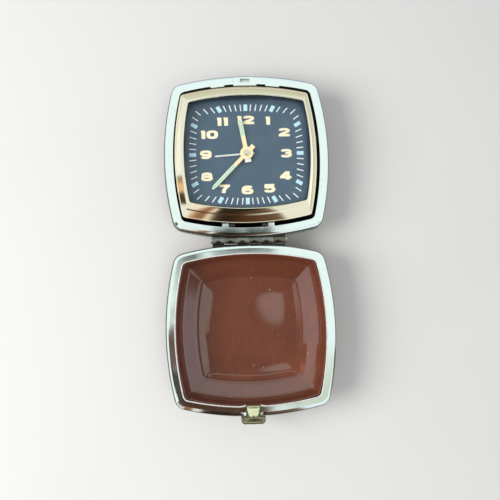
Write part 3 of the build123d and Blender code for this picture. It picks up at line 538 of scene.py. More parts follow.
@dataclass(frozen=True)
class ClearPane:
    """A clear pane that lets light through and mirrors a little of what is above it.

    Attributes:
        name: The material's name.
        mirror: How much it mirrors.
    """

    name: str
    mirror: float = 0.06

    def build(self) -> bpy.types.Material:
        """Makes the finish.

        Returns:
            The material.
        """
        material, graph = new_material(self.name)
        smears = graph.noise(9.0, 3.0)
        inputs = {
            "Base Color": graph.blend((0.95, 0.98, 1.0), (0.86, 0.92, 0.95), smears),
            "Metallic": 1.0,
            "Roughness": smears.step(0.5, 0.8) * 0.05 + 0.015,
            "Alpha": smears.step(0.4, 0.9) * 0.02 + self.mirror,
        }
        close_surface(graph, inputs)
        return material


Finish = PlatedMetal | MouldedPlastic | SatinPaint | DialLacquer | ClearPane

# Rim plating; under 14.95 mm it is painted dark as shade on the rims' steep lower sides.
RIM_PLATING = PlatedMetal(
    "rim_plating_and_shade",
    (0.86, 0.93, 0.90),
    (0.62, 0.66, 0.60),
    gloss=0.06,
    cloud=0.05,
    spots=0.1,
    depth=0.0005,
    specks=True,
    foot=14.95,
)
# Dark plating of the roll round each rim's edge: painted shade that draws the rim's dark outline.
EDGE_SHADE_PLATING = PlatedMetal("edge_plating", (0.10, 0.10, 0.09), (0.04, 0.04, 0.03), gloss=0.45, spots=0.5)
LIP_PLATING = SatinPaint("lip_plating", (0.93, 0.90, 0.86), (0.80, 0.74, 0.68), gloss=0.32, metal=0.6)
STRIKE_PLATING = SatinPaint("strike_plating", (0.86, 0.92, 0.90), (0.6, 0.62, 0.58), gloss=0.35, metal=0.5)
BEAD_PLATING = PlatedMetal("bead_plating", (0.80, 0.82, 0.74), (0.30, 0.28, 0.20), gloss=0.16, spots=0.4)
STRIP_PLATING = PlatedMetal("strip_plating", (0.30, 0.29, 0.24), (0.12, 0.11, 0.08), gloss=0.24, spots=0.5)
# Hinge leaf platings; under their foot heights they are painted dark as shade on the knuckles' undersides.
LID_LEAF_PLATING = PlatedMetal(
    "lid_leaf_plating_and_shade",
    (0.23, 0.24, 0.235),
    (0.09, 0.09, 0.08),
    spots=0.4,
    foot=16.4,
    foot_shade_colour=(0.06, 0.06, 0.055),
)
CASE_LEAF_PLATING = PlatedMetal(
    "case_leaf_plating_and_shade",
    (0.18, 0.17, 0.13),
    (0.06, 0.055, 0.04),
    spots=0.6,
    foot=16.5,
    foot_shade_colour=(0.05, 0.045, 0.035),
)
BEZEL_GILDING = PlatedMetal(
    "bezel_gilding", (0.93, 0.84, 0.62), (0.75, 0.64, 0.42), gloss=0.06, cloud=0.04, spots=0.05, depth=0.0006
)
# Gilt of the tongue's face, painted paler than the clasp's other gilt as the highlight on its slope.
CLASP_FACE_HIGHLIGHT = SatinPaint("clasp_face_painted_highlight", (0.80, 0.86, 0.56), (0.62, 0.64, 0.36), gloss=0.34, metal=0.5, depth=0.01)
TONGUE_GILDING = PlatedMetal("tongue_gilding", (0.34, 0.32, 0.18), (0.14, 0.12, 0.06), gloss=0.24, spots=0.6)
THUMB_GILDING = PlatedMetal(
    "thumb_gilding", (0.32, 0.29, 0.17), (0.05, 0.045, 0.025), gloss=0.12, spots=1.0, depth=0.03
)
KNURL_BRASS = PlatedMetal("knurl_brass", (0.80, 0.70, 0.45), (0.4, 0.32, 0.16), gloss=0.2, spots=0.4)
WORKS_BRASS = PlatedMetal(
    "works_brass", (0.78, 0.61, 0.31), (0.45, 0.32, 0.14), gloss=0.26, spots=0.4, grain=Grain.ALONG_X
)
WORKS_STEEL = PlatedMetal(
    "works_steel", (0.62, 0.63, 0.64), (0.36, 0.36, 0.37), gloss=0.22, spots=0.3, grain=Grain.ALONG_Y
)
SPRING_STEEL = PlatedMetal("spring_steel", (0.24, 0.27, 0.38), (0.14, 0.14, 0.18), gloss=0.2, spots=0.3)
PIN_STEEL = PlatedMetal("pin_steel", (0.78, 0.77, 0.74), (0.4, 0.38, 0.35), gloss=0.14, spots=0.2)
COVER_ENAMEL = SatinPaint("cover_enamel", (0.020, 0.019, 0.018), (0.03, 0.028, 0.026), gloss=0.4)
TRAY_BLACK = MouldedPlastic("tray_black", (0.006, 0.006, 0.006), (0.010, 0.009, 0.008), gloss=0.6)
SHELL_BROWN = MouldedPlastic(
    "shell_brown", srgb(92, 48, 35), srgb(74, 38, 28), gloss=0.34, pebble=0.9, depth=0.05, lacquer=0.2
)
LID_BROWN = MouldedPlastic(
    "lid_brown",
    srgb(110, 57, 35),
    srgb(97, 49, 30),
    gloss=0.45,
    pebble=9.0,
    depth=0.02,
    dust=0.6,
    lacquer=1.0,
    lacquer_index=1.72,
)
# The dial ring's own dark paint, made darker still as painted shade inside the bezel.
RING_PAINT_AND_SHADE = SatinPaint("ring_paint", srgb(34, 50, 64), srgb(26, 40, 52), gloss=0.4)
CREAM_PAINT = SatinPaint("cream_paint", srgb(250, 236, 190), srgb(240, 220, 168), gloss=0.4)
NUMERAL_CREAM = SatinPaint("numeral_cream", srgb(250, 242, 208), srgb(244, 232, 192), gloss=0.5, size=0.7)
TICK_WHITE = SatinPaint("tick_white", srgb(240, 248, 250), srgb(218, 232, 238), gloss=0.5, size=0.7)
BLOCK_GLOW = SatinPaint("block_glow", srgb(200, 236, 248), srgb(184, 224, 240), gloss=0.7, size=0.5)
HAND_GLOW = SatinPaint("hand_glow", srgb(184, 226, 210), srgb(170, 212, 192), gloss=0.7, size=0.6)
HUB_GILDING = PlatedMetal("hub_gilding", (0.94, 0.78, 0.46), (0.8, 0.58, 0.3), gloss=0.3, spots=0.2)
TAIL_WHITE = SatinPaint("tail_white", srgb(240, 244, 242), srgb(226, 230, 228), gloss=0.4)
ALARM_PALE = SatinPaint("alarm_pale", srgb(214, 220, 216), srgb(196, 204, 202), gloss=0.35)
PANE = ClearPane("clear_pane", 0.012)
FLOOR_PAPER = SatinPaint("floor_paper", (0.70, 0.70, 0.69), (0.69, 0.69, 0.68), gloss=0.9, size=60.0)


class FinishShelf:
    """Keeps one material for each finish."""

    def __init__(self) -> None:
        """Starts an empty shelf."""
        self._made: dict[str, bpy.types.Material] = {}

    def take(self, finish: Finish) -> bpy.types.Material:
        """The material of a finish, made the first time it is asked for.

        Args:
            finish: The finish.

        Returns:
            Its material.
        """
        if finish.name not in self._made:
            self._made[finish.name] = finish.build()
        return self._made[finish.name]


SHELF = FinishShelf()


# ---------------------------------------------------------------------------------------------
# Outlines and meshes
# ---------------------------------------------------------------------------------------------


class Fineness(Enum):
    """How many steps an outline has over half a side and round a corner."""

    SHELL = (14, 6)
    LINING = (16, 4)
    BEZEL = (16, 5)
    STRIP = (18, 6)
    ROLL = (20, 8)
    BEADS = (60, 12)


@dataclass(frozen=True)
class BowedSquare:
    """A square whose four sides bow outwards, in millimetres.

    Attributes:
        half_x: Half its width.
        half_y: Half its height.
        radius: Radius of its sides.
        corner: Radius of its corners.
        centre: Its centre.
    """

    half_x: float
    half_y: float
    radius: float
    corner: float
    centre: Point2 = (0.0, 0.0)

    def corner_centre(self) -> Point2:
        """The centre of the first corner's round, seen from the square's centre.

        Returns:
            Its X and Y.
        """
        reach = self.radius - self.corner
        x = self.half_x - self.corner
        y = self.half_y - self.corner
        for _ in range(40):
            x = self.half_x - self.radius + math.sqrt(reach**2 - y**2)
            y = self.half_y - self.radius + math.sqrt(reach**2 - x**2)
        return x, y

    def ring(self, fineness: Fineness) -> list[Point2]:
        """Points once round the outline, anticlockwise from the middle of the right side.

        Args:
            fineness: How many steps its sides and corners have.

        Returns:
            The points.
        """
        side_steps, corner_steps = fineness.value
        x, y = self.corner_centre()
        side_x = self.half_x - self.radius
        side_y = self.half_y - self.radius
        flank = math.atan2(y, x - side_x)
        crown = math.atan2(y - side_y, x)
        quarter: list[Point2] = []
        for step in range(side_steps):
            angle = flank * step / side_steps
            quarter.append((side_x + self.radius * math.cos(angle), self.radius * math.sin(angle)))
        for step in range(corner_steps):
            angle = mixed(flank, crown, step / corner_steps)
            quarter.append((x + self.corner * math.cos(angle), y + self.corner * math.sin(angle)))
        for step in range(side_steps + 1):
            angle = mixed(crown, math.pi / 2, step / side_steps)
            quarter.append((self.radius * math.cos(angle), side_y + self.radius * math.sin(angle)))
        back = quarter[::-1]
        points = quarter[:-1]
        points += [(-px, py) for px, py in back[:-1]]
        points += [(-px, -py) for px, py in quarter[:-1]]
        points += [(px, -py) for px, py in back[:-1]]
        return [(self.centre[0] + px, self.centre[1] + py) for px, py in points]

    def towards(self, other: "BowedSquare", share: float, corner: float | None = None) -> "BowedSquare":
        """The outline at a share of the way to another.

        Args:
            other: The other outline.
            share: The share of the way.
            corner: A corner radius to use instead of the mixed one.

        Returns:
            The outline between them.
        """
        return BowedSquare(
            mixed(self.half_x, other.half_x, share),
            mixed(self.half_y, other.half_y, share),
            mixed(self.radius, other.radius, share),
            mixed(self.corner, other.corner, share) if corner is None else corner,
            (
                mixed(self.centre[0], other.centre[0], share),
                mixed(self.centre[1], other.centre[1], share),
            ),
        )

    def edge_along(self, angle: float) -> float:
        """How far the outline is from its centre in a direction, its corners taken as sharp.

        Args:
            angle: The direction, in radians clockwise from +Y.

        Returns:
            The distance.
        """
        east, north = abs(math.sin(angle)), abs(math.cos(angle))

        def meet(offset: float, along: float) -> float:
            """Where a ray meets one side's circle, whose centre is offset along one axis."""
            lean = offset * along
            return lean + math.sqrt(lean**2 - offset**2 + self.radius**2)

        return min(meet(self.half_x - self.radius, east), meet(self.half_y - self.radius, north))


class Draft:
    """Gathers the points and faces of one mesh, in millimetres."""

    def __init__(self) -> None:
        """Starts an empty draft."""
        self.points: list[Point3] = []
        self.faces: list[tuple[int, ...]] = []

    def ring(self, points: Iterable[Point2], level: float | Sequence[float]) -> list[int]:
        """Adds a ring of points.

        Args:
            points: Their places in plan.
            level: Their height, or one height for each.

        Returns:
            Their numbers.
        """
        first = len(self.points)
        for number, (x, y) in enumerate(points):
            height = level[number] if isinstance(level, Sequence) else level
            self.points.append((x, y, height))
        return list(range(first, len(self.points)))

    def skin(self, rings: Sequence[list[int]], closed: bool = True) -> None:
        """Joins each ring to the next with quads.

        Args:
            rings: Rings with the same number of points.
            closed: Whether each ring closes on itself.
        """
        for lower, upper in zip(rings, rings[1:]):
            count = len(lower)
            for step in range(count if closed else count - 1):
                following = (step + 1) % count
                self.faces.append((lower[step], lower[following], upper[following], upper[step]))

    def cap(self, ring: Sequence[int], turned: bool = False) -> None:
        """Closes a ring with one face, which looks down where it is turned."""
        self.faces.append(tuple(reversed(ring)) if turned else tuple(ring))

    def block(self, outline: Sequence[Point2], low: float, high: float) -> None:
        """Adds an upright block over an outline that runs anticlockwise.

        Args:
            outline: The outline.
            low: Its underside.
            high: Its top.
        """
        rings = [self.ring(outline, low), self.ring(outline, high)]
        self.skin(rings)
        self.cap(rings[0], turned=True)
        self.cap(rings[1])

    def build(self, name: str, finish: Finish, smooth: float | None = 35.0) -> bpy.types.Object:
        """Makes the piece.

        Args:
            name: The piece's name.
            finish: Its finish.
            smooth: The angle up to which edges are shaded round, in degrees, or None for flat.

        Returns:
            The new object.
        """
        mesh = bpy.data.meshes.new(name)
        mesh.from_pydata([tuple(share * MM for share in point) for point in self.points], [], self.faces)
        mesh.validate()
        mesh.materials.append(SHELF.take(finish))
        if smooth is not None:
            mesh.shade_smooth()
            mesh.set_sharp_from_angle(angle=math.radians(smooth))
        piece = bpy.data.objects.new(name, mesh)
        bpy.context.scene.collection.objects.link(piece)
        return piece


def roll(
    name: str, path: Sequence[Point2], size: tuple[float, float], finish: Finish, closed: bool = True
) -> bpy.types.Object:
    """A thin round roll along a level path.

    Args:
        name: The piece's name.
        path: The path in plan, anticlockwise.
        size: The roll's radius and its height.
        finish: Its finish.
        closed: Whether the path closes on itself.

    Returns:
        The piece.
    """
    radius, level = size
    draft = Draft()
    rings: list[list[int]] = []
    for number, (x, y) in enumerate(path):
        if closed:
            before, after = path[number - 1], path[(number + 1) % len(path)]
        else:
            before, after = path[max(0, number - 1)], path[min(len(path) - 1, number + 1)]
        run = math.dist(before, after)
        aside = ((after[1] - before[1]) / run, (before[0] - after[0]) / run)
        start = len(draft.points)
        for step in range(ROUND_STEPS):
            angle = math.tau * step / ROUND_STEPS
            out, up = radius * math.cos(angle), radius * math.sin(angle)
            draft.points.append((x + aside[0] * out, y + aside[1] * out, level + up))
        rings.append(list(range(start, start + ROUND_STEPS)))
    if closed:
        rings.append(rings[0])
    draft.skin(rings)
    if not closed:
        draft.cap(rings[0], turned=True)
        draft.cap(rings[-1])
    return draft.build(name, finish, 80.0)


def place_piece(piece: bpy.types.Object, body: str, stands_for: Sequence[str] = ()) -> None:
    """Lets a piece ride on a body, and hides the CAD nodes that it stands for.

    Args:
        piece: The piece.
        body: The CAD body that it moves with.
        stands_for: CAD nodes that it replaces.
    """
    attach(piece, body)
    if stands_for:
        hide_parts(*stands_for)
    LOG.info("piece %s rides on %s: %d faces", piece.name, body, len(piece.data.polygons))


def soften_edges(piece: bpy.types.Object, width: float) -> None:
    """Rounds the sharp edges of a CAD node by modifiers that leave its own mesh as it is.

    Args:
        piece: The CAD node's object.
        width: The width of the rounding, in millimetres.
    """
    weld_gap, sharp_from = 0.0005, 40
    weld = piece.modifiers.new("weld", "WELD")
    weld.merge_threshold = weld_gap * MM
    edge = piece.modifiers.new("soft_edges", "BEVEL")
    edge.width = width * MM
    edge.segments = 2
    edge.limit_method = "ANGLE"
    edge.angle_limit = math.radians(sharp_from)
    edge.use_clamp_overlap = True


# ---------------------------------------------------------------------------------------------
# Case halves
# ---------------------------------------------------------------------------------------------


@dataclass
class CaseHalf:
    """One half of the folding case: its beaded side band and its moulded shell.

    Attributes:
        name: The half's name in node names.
        body: The CAD body that carries it.
        centre_y: The Y of its centre.
        gap_at_clasp: Half the width that the band leaves free for the clasp, or 0.
        half: Half its width over the rim.
        radius: Radius of its bowed sides.
        corner: Radius of its corners.
        band_top: The top of the beaded band.
        band_height: The band's height.
        band_proud: How far the beads stand out past the rim.
        bead: A bead's radius.
        bead_pitch: The spacing asked for between the beads.
        edge_roll: Radius of the roll along the rim's edge.
        edge_level: The roll's height.
        shell_top: The top of the shell's upright walls.
        shell_bend: The height at which the walls turn into the slopes.
        shell_inset: How far the shell stands in from the rim.
        shell_wall: The shell's thickness.
        foot_half: Half the width of its flat foot.
    """

    name: str
    body: str
    centre_y: float
    gap_at_clasp: float = 0.0
    half: float = 33.0
    radius: float = 112.0
    corner: float = 4.5
    band_top: float = 13.3
    band_height: float = 1.9
    band_proud: float = 0.8
    bead: float = 0.56
    bead_pitch: float = 1.2
    edge_roll: float = 0.2
    edge_level: float = 15.0
    shell_top: float = 14.1
    shell_bend: float = 8.5
    shell_inset: float = 1.0
    shell_wall: float = 1.2
    foot_half: float = 22.8

    def outline(self, inset: float, corner: float | None = None) -> BowedSquare:
        """The half's outline, drawn in by an even inset.

        Args:
            inset: The inset.
            corner: A corner radius to use instead of the one that follows from the inset.

        Returns:
            The outline.
        """
        half = self.half - inset
        if corner is None:
            corner = max(0.6, self.corner - inset)
        return BowedSquare(half, half, self.radius - inset, corner, (0.0, self.centre_y))

    def _is_free(self, point: Point2) -> bool:
        """Whether a place on the band is left free for the clasp."""
        return self.gap_at_clasp > 0 and point[1] < self.centre_y and abs(point[0]) < self.gap_at_clasp

    def band_strip(self) -> bpy.types.Object:
        """The flat strip with two thin lips that the beads stand on.

        Returns:
            The piece.
        """
        low = self.band_top - self.band_height
        profile = (
            (-0.05, self.band_top),
            (-0.5, self.band_top - 0.02),
            (-0.55, self.band_top - 0.12),
            (-0.3, self.band_top - 0.2),
            (-0.3, low + 0.2),
            (-0.55, low + 0.12),
            (-0.5, low + 0.02),
            (-0.05, low),
        )
        draft = Draft()
        rings: list[list[int]] = []
        for inset, level in profile:
            points = self.outline(inset).ring(Fineness.STRIP)
            turn = len(points) * 3 // 4
            points = points[turn:] + points[:turn]
            kept = [point for point in points if not self._is_free(point)]
            rings.append(draft.ring(kept, level))
        whole = self.gap_at_clasp == 0
        draft.skin([*rings, rings[0]], closed=whole)
        if not whole:
            draft.cap([ring[0] for ring in rings])
            draft.cap([ring[-1] for ring in rings], turned=True)
        return draft.build(f"{self.name}_band_strip", STRIP_PLATING)

    def _bead_places(self) -> list[tuple[Point2, Point2]]:
        """Even places round the band, and the way out from each.

        Returns:
            The places and the ways out.
        """
        points = self.outline(self.bead - self.band_proud).ring(Fineness.BEADS)
        loop = [*points, points[0]]
        lengths = [math.dist(start, end) for start, end in zip(loop, loop[1:])]
        count = round(sum(lengths) / self.bead_pitch)
        pitch = sum(lengths) / count
        places: list[tuple[Point2, Point2]] = []
        travelled, wanted = 0.0, 0.0
        for (start, end), length in zip(zip(loop, loop[1:]), lengths):
            while wanted < travelled + length and len(places) < count:
                share = (wanted - travelled) / length
                spot = (mixed(start[0], end[0], share), mixed(start[1], end[1], share))
                outward = ((end[1] - start[1]) / length, (start[0] - end[0]) / length)
                places.append((spot, outward))
                wanted += pitch
            travelled += length
        return places

    def band_beads(self) -> bpy.types.Object:
        """A row of beads along the strip.

        Returns:
            The piece.
        """
        draft = Draft()
        middle = self.band_top - self.band_height / 2
        for (x, y), outward in self._bead_places():
            if not self._is_free((x, y)):
                self._bead(draft, (x, y, middle), outward)
        return draft.build(f"{self.name}_band_beads", BEAD_PLATING, 80.0)

    def edge(self) -> bpy.types.Object:
        """The thin roll along the rim's outer edge, coloured dark as painted shade: the rim's dark outline."""
        path = self.outline(self.edge_roll / 2).ring(Fineness.ROLL)
        return roll(f"{self.name}_rim_edge_shade", path, (self.edge_roll, self.edge_level), EDGE_SHADE_PLATING)

    def _bead(self, draft: Draft, place: Point3, outward: Point2) -> None:
        """Adds one half ball that looks outwards.

        Args:
            draft: The draft to add to.
            place: The ball's centre.
            outward: The way it looks, in plan.
        """
        rings: list[list[int]] = []
        for lift in (0.0, 35.0, 65.0):
            reach = self.bead * math.cos(math.radians(lift))
            out = self.bead * math.sin(math.radians(lift))
            first = len(draft.points)
            for step in range(ROUND_STEPS):
                angle = math.tau * step / ROUND_STEPS
                aside, up = reach * math.cos(angle), reach * math.sin(angle)
                x = place[0] + outward[0] * out - outward[1] * aside
                y = place[1] + outward[1] * out + outward[0] * aside
                draft.points.append((x, y, place[2] + up))
            rings.append(list(range(first, first + ROUND_STEPS)))
        draft.skin(rings)
        draft.cap(rings[-1])

    def shell(self) -> bpy.types.Object:
        """The moulded shell: upright walls, a softened bend and slopes down to its foot.

        Returns:
            The piece.
        """
        slope = self.half - self.foot_half - self.shell_inset
        wall_corner, foot_corner = 3.5, 2.2
        outside = [
            (self.shell_inset, self.shell_top, wall_corner),
            (self.shell_inset, self.shell_bend + 0.9, wall_corner),
            (self.shell_inset + 0.12, self.shell_bend + 0.25, wall_corner),
        ]
        for share in (0.06, 0.2, 0.4, 0.6, 0.8, 0.94):
            bulge = 0.125 * math.sin(math.pi * share)
            level = self.shell_bend * (1 - share) + 0.08
            outside.append((self.shell_inset + slope * share - bulge, level, mixed(3.4, foot_corner, share)))
        outside.append((self.shell_inset + slope - 0.1, 0.12, foot_corner))
        outside.append((self.shell_inset + slope + 0.3, 0.0, foot_corner))
        inside = (
            (self.half - self.foot_half + self.shell_wall, 1.2, 1.6),
            (self.shell_inset + self.shell_wall, self.shell_bend, 2.3),
            (self.shell_inset + self.shell_wall, self.shell_top, 2.3),
        )
        draft = Draft()
        outer, inner = (
            [draft.ring(self.outline(inset, corner).ring(Fineness.SHELL), level) for inset, level, corner in side]
            for side in (outside, inside)
        )
        draft.skin(outer[::-1])
        draft.skin(inner[::-1])
        draft.skin([outer[0], inner[-1]])
        draft.cap(outer[-1], turned=True)
        draft.cap(inner[0])
        return draft.build(f"{self.name}_shell_moulded", SHELL_BROWN)

    def build(self) -> None:
        """Builds the band and the shell and lets them ride."""
        place_piece(self.band_strip(), self.body, [f"{self.name}_side_band"])
        place_piece(self.band_beads(), self.body)
        place_piece(self.edge(), self.body)
        place_piece(self.shell(), self.body, [f"{self.name}_shell"])


@dataclass
class LidInside:
    """The lid's glossy formed lining and the bright lip round its opening.

    Attributes:
        centre_y: The Y of the lid's centre.
        side_offset: How much larger the radius of a level outline is than half its width.
        crease_half: Half the width between the creases round the floor.
        crease_level: The creases' height.
        crease_corner: Corner radius at the creases.
        top_corner: Corner radius at the top of the sides.
        floor_level: The floor's height over its middle.
        floor_rings: How many rings the floor has.
        curl_power: How suddenly the floor curls up at its edges.
        east_curl: The east edge's share of the curl.
        sheet: The lining's thickness.
        profile: Half widths and heights of the lining's sides, from the floor's crease upwards.
        dimples: Places, radii and depths of small dimples in its floor.
        lip_half: Half the width of the lip's path.
        lip_radius: Radius of the lip's bowed sides.
        lip_corner: Radius of the lip's corners.
        lip_roll: Radius of the lip's roll.
        lip_level: The lip's height.
        ear_start: Half the gap that the lip leaves at the clasp.
        ear: Places of the lip's curled-in end, inwards of the gap and of the lip's path.
    """

    centre_y: float = -33.55
    side_offset: float = 66.0
    crease_half: float = 21.3
    crease_level: float = 2.5
    crease_corner: float = 0.4
    top_corner: float = 1.6
    floor_level: float = 1.9
    floor_rings: int = 36
    curl_power: int = 6
    east_curl: float = 0.62
    sheet: float = 0.3
    profile: Sequence[Point2] = (
        (21.3, 2.5),
        (22.6, 3.72),
        (24.0, 4.68),
        (25.4, 5.58),
        (26.8, 6.46),
        (27.8, 7.2),
        (28.5, 8.2),
        (28.95, 9.6),
        (29.25, 11.2),
        (29.5, 13.0),
        (29.7, 14.1),
    )
    dimples: Sequence[tuple[Point2, float, float]] = (
        ((-14.6, -39.5), 1.9, 0.035),
        ((-16.5, -36.0), 2.2, -0.02),
        ((1.5, -48.2), 0.8, 0.05),
    )
    lip_half: float = 29.6
    lip_radius: float = 108.6
    lip_corner: float = 2.4
    lip_roll: float = 0.27
    lip_level: float = 15.5
    ear_start: float = 4.1
    ear: Sequence[Point2] = ((1.2, 0.7), (0.75, 0.42))

    def outline(self, half: float, corner: float) -> BowedSquare:
        """A level outline of the lining."""
        return BowedSquare(half, half, self.side_offset + half, corner, (0.0, self.centre_y))

    def sag(self, x: float, y: float) -> float:
        """How high the floor stands at a place: flat over the middle, curling up at its edges.

        Args:
            x: The place's X.
            y: The place's Y.

        Returns:
            The height.
        """
        east = x / self.crease_half
        north = (y - self.centre_y) / self.crease_half
        share = self.east_curl if east > 0 else 1.0
        curl = 1 - (1 - share * east**self.curl_power) * (1 - north**self.curl_power)
        level = self.floor_level + (self.crease_level - self.floor_level) * curl
        for (px, py), radius, depth in self.dimples:
            level -= depth * math.exp(-((x - px) ** 2 + (y - py) ** 2) / radius**2)
        return level

    def lining(self) -> bpy.types.Object:
        """The lining: four sides that meet in creases, and a floor that curls up at its edges.

        Returns:
            The piece.
        """
        draft = Draft()
        rings: list[list[int]] = []
        for half, level in reversed(self.profile):
            share = (half - self.crease_half) / (self.profile[-1][0] - self.crease_half)
            plan = self.outline(half, mixed(self.crease_corner, self.top_corner, share))
            rings.append(draft.ring(plan.ring(Fineness.LINING), level))
        edge = self.outline(self.crease_half, self.crease_corner).ring(Fineness.LINING)
        for step in range(1, self.floor_rings):
            share = 1 - step / self.floor_rings
            points = [(x * share, self.centre_y + (y - self.centre_y) * share) for x, y in edge]
            levels = []
            for (x, y), (far_x, far_y) in zip(points, edge):
                miss = self.crease_level - self.sag(far_x, far_y)
                levels.append(self.sag(x, y) + miss * share**8)
            rings.append(draft.ring(points, levels))
        draft.skin(rings[::-1])
        draft.cap(rings[-1])
        piece = draft.build("lid_lining_formed", LID_BROWN, 24.0)
        sheet = piece.modifiers.new("sheet", "SOLIDIFY")
        sheet.thickness = self.sheet * MM
        sheet.offset = -1.0
        return piece

    def lip(self) -> bpy.types.Object:
        """The bright rolled lip, whose two ends curl in beside the clasp.

        Returns:
            The piece.
        """
        plan = BowedSquare(self.lip_half, self.lip_half, self.lip_radius, self.lip_corner, (0.0, self.centre_y))
        points = plan.ring(Fineness.ROLL)
        turn = len(points) * 3 // 4
        points = points[turn:] + points[:turn]
        edge_y = self.centre_y - self.lip_half
        path = [point for point in points if not (point[1] < self.centre_y and abs(point[0]) < self.ear_start)]
        first = [(self.ear_start - aside, edge_y + inwards) for aside, inwards in self.ear]
        last = [(-x, y) for x, y in reversed(first)]
        return roll("lid_opening_lip", [*first, *path, *last], (self.lip_roll, self.lip_level), LIP_PLATING, False)

    def build(self) -> None:
        """Builds the lining and the lip and lets them ride on the lid."""
        place_piece(self.lining(), "lid", ["lid_lining"])
        place_piece(self.lip(), "lid")


@dataclass
class StrikePlate:
    """The small bright plate under the slot in the clock half's rim, where the clasp's hook goes.

    Attributes:
        centre: Its centre.
        half: Half its width and half its depth.
        low: Its underside.
        thickness: Its thickness.
    """

    centre: Point2 = (0.0, 67.1)
    half: Point2 = (2.7, 1.15)
    low: float = 14.12
    thickness: float = 0.18

    def build(self) -> None:
        """Builds the plate and lets it ride on the case."""
        x, y = self.half
        corner = min(x, y) * 0.4
        plan = [
            (x, -y + corner),
            (x, y - corner),
            (x - corner, y),
            (corner - x, y),
            (-x, y - corner),
            (-x, corner - y),
            (corner - x, -y),
            (x - corner, -y),
        ]
        draft = Draft()
        outline = [(self.centre[0] + px, self.centre[1] + py) for px, py in plan]
        draft.block(outline, self.low, self.low + self.thickness)
        place_piece(draft.build("case_strike_plate", STRIKE_PLATING, 30.0), "case")


@dataclass
class Clasp:
    """The clasp: its rounded thumb piece and the thin face on its tongue.

    Attributes:
        thumb_half: Half the thumb piece's width.
        thumb_inner: The Y of its side at the rim.
        thumb_outer: The Y of its outer side.
        thumb_low: Its underside.
        thumb_high: The top of its rounded edge.
        thumb_corner: Radius of its outer corners.
        face_level: The underside of the tongue's face.
        face_lip: The thickness of the face's low lip.
        face_thickness: The thickness of its tapered plate.
        cap_levels: Underside and top of the thin plate on the tongue's raised part.
    """

    thumb_half: float = 4.7
    thumb_inner: float = -67.0
    thumb_outer: float = -69.75
    thumb_low: float = 11.9
    thumb_high: float = 15.5
    thumb_corner: float = 1.5
    face_level: float = 15.4
    face_lip: float = 0.3
    face_thickness: float = 0.14
    cap_levels: Point2 = (16.9, 16.94)

    def thumb_outline(self, inset: float) -> list[Point2]:
        """The thumb piece in plan, drawn in by an inset, with its outer corners rounded.

        Args:
            inset: The inset.

        Returns:
            The outline.
        """
        half = self.thumb_half - inset
        outer = self.thumb_outer + inset
        inner = self.thumb_inner - inset
        radius = max(0.3, self.thumb_corner - inset)
        points: list[Point2] = [(half, inner), (-half, inner)]
        for side, start in ((-1, 180.0), (1, 270.0)):
            centre = (side * (half - radius), outer + radius)
            for step in range(7):
                angle = math.radians(start + 15 * step)
                points.append((centre[0] + radius * math.cos(angle), centre[1] + radius * math.sin(angle)))
        return points

    def thumb(self) -> bpy.types.Object:
        """The thumb piece, with a rounded top edge and a shallow hollow along its top.

        Returns:
            The piece.
        """
        draft = Draft()
        profile = (
            (0.35, self.thumb_low),
            (0.0, self.thumb_low + 0.35),
            (0.0, self.thumb_high - 0.45),
            (0.12, self.thumb_high - 0.16),
            (0.38, self.thumb_high),
            (0.62, self.thumb_high - 0.03),
            (0.78, self.thumb_high - 0.2),
            (1.0, self.thumb_high - 0.26),
        )
        rings = [draft.ring(self.thumb_outline(inset), level) for inset, level in profile]
        draft.skin(rings)
        draft.cap(rings[0], turned=True)
        draft.cap(rings[-1])
        return draft.build("clasp_thumb_formed", THUMB_GILDING, 50.0)

    def face(self) -> bpy.types.Object:
        """The tongue's face, gilt painted pale as the highlight on its slope: a low lip, a crease, and a tapered
        plate notched at its tip.

        Returns:
            The piece.
        """
        draft = Draft()
        base = self.face_level
        lip = [(-2.45, -63.3), (2.45, -63.3), (2.55, -62.95), (-2.55, -62.95)]
        west = [(-2.4, -63.55), (-2.15, -65.0), (-1.85, -66.1), (-1.35, -66.75), (-0.5, -66.92), (-0.35, -66.5)]
        plate = west + [(-x, y) for x, y in reversed(west)]
        cap = [(-1.6, -64.85), (1.6, -64.85), (1.6, -63.55), (-1.6, -63.55)]
        layers = (
            (lip, base, base + self.face_lip),
            (plate, base, base + self.face_thickness),
            (cap, *self.cap_levels),
        )
        for outline, low, high in layers:
            middle = (
                sum(x for x, _ in outline) / len(outline),
                sum(y for _, y in outline) / len(outline),
            )
            rings = []
            for share, level in ((0.0, low), (0.0, mixed(low, high, 0.6)), (0.05, high)):
                drawn = [(mixed(x, middle[0], share), mixed(y, middle[1], share)) for x, y in outline]
                rings.append(draft.ring(drawn, level))
            draft.skin(rings)
            draft.cap(rings[-1])
        return draft.build("clasp_tongue_face", CLASP_FACE_HIGHLIGHT, 30.0)

    def build(self) -> None:
        """Builds the thumb piece and the tongue's face."""
        place_piece(self.thumb(), "clasp", ["clasp_thumb_piece"])
        place_piece(self.face(), "clasp")


# ---------------------------------------------------------------------------------------------
# Clock frame
# ---------------------------------------------------------------------------------------------


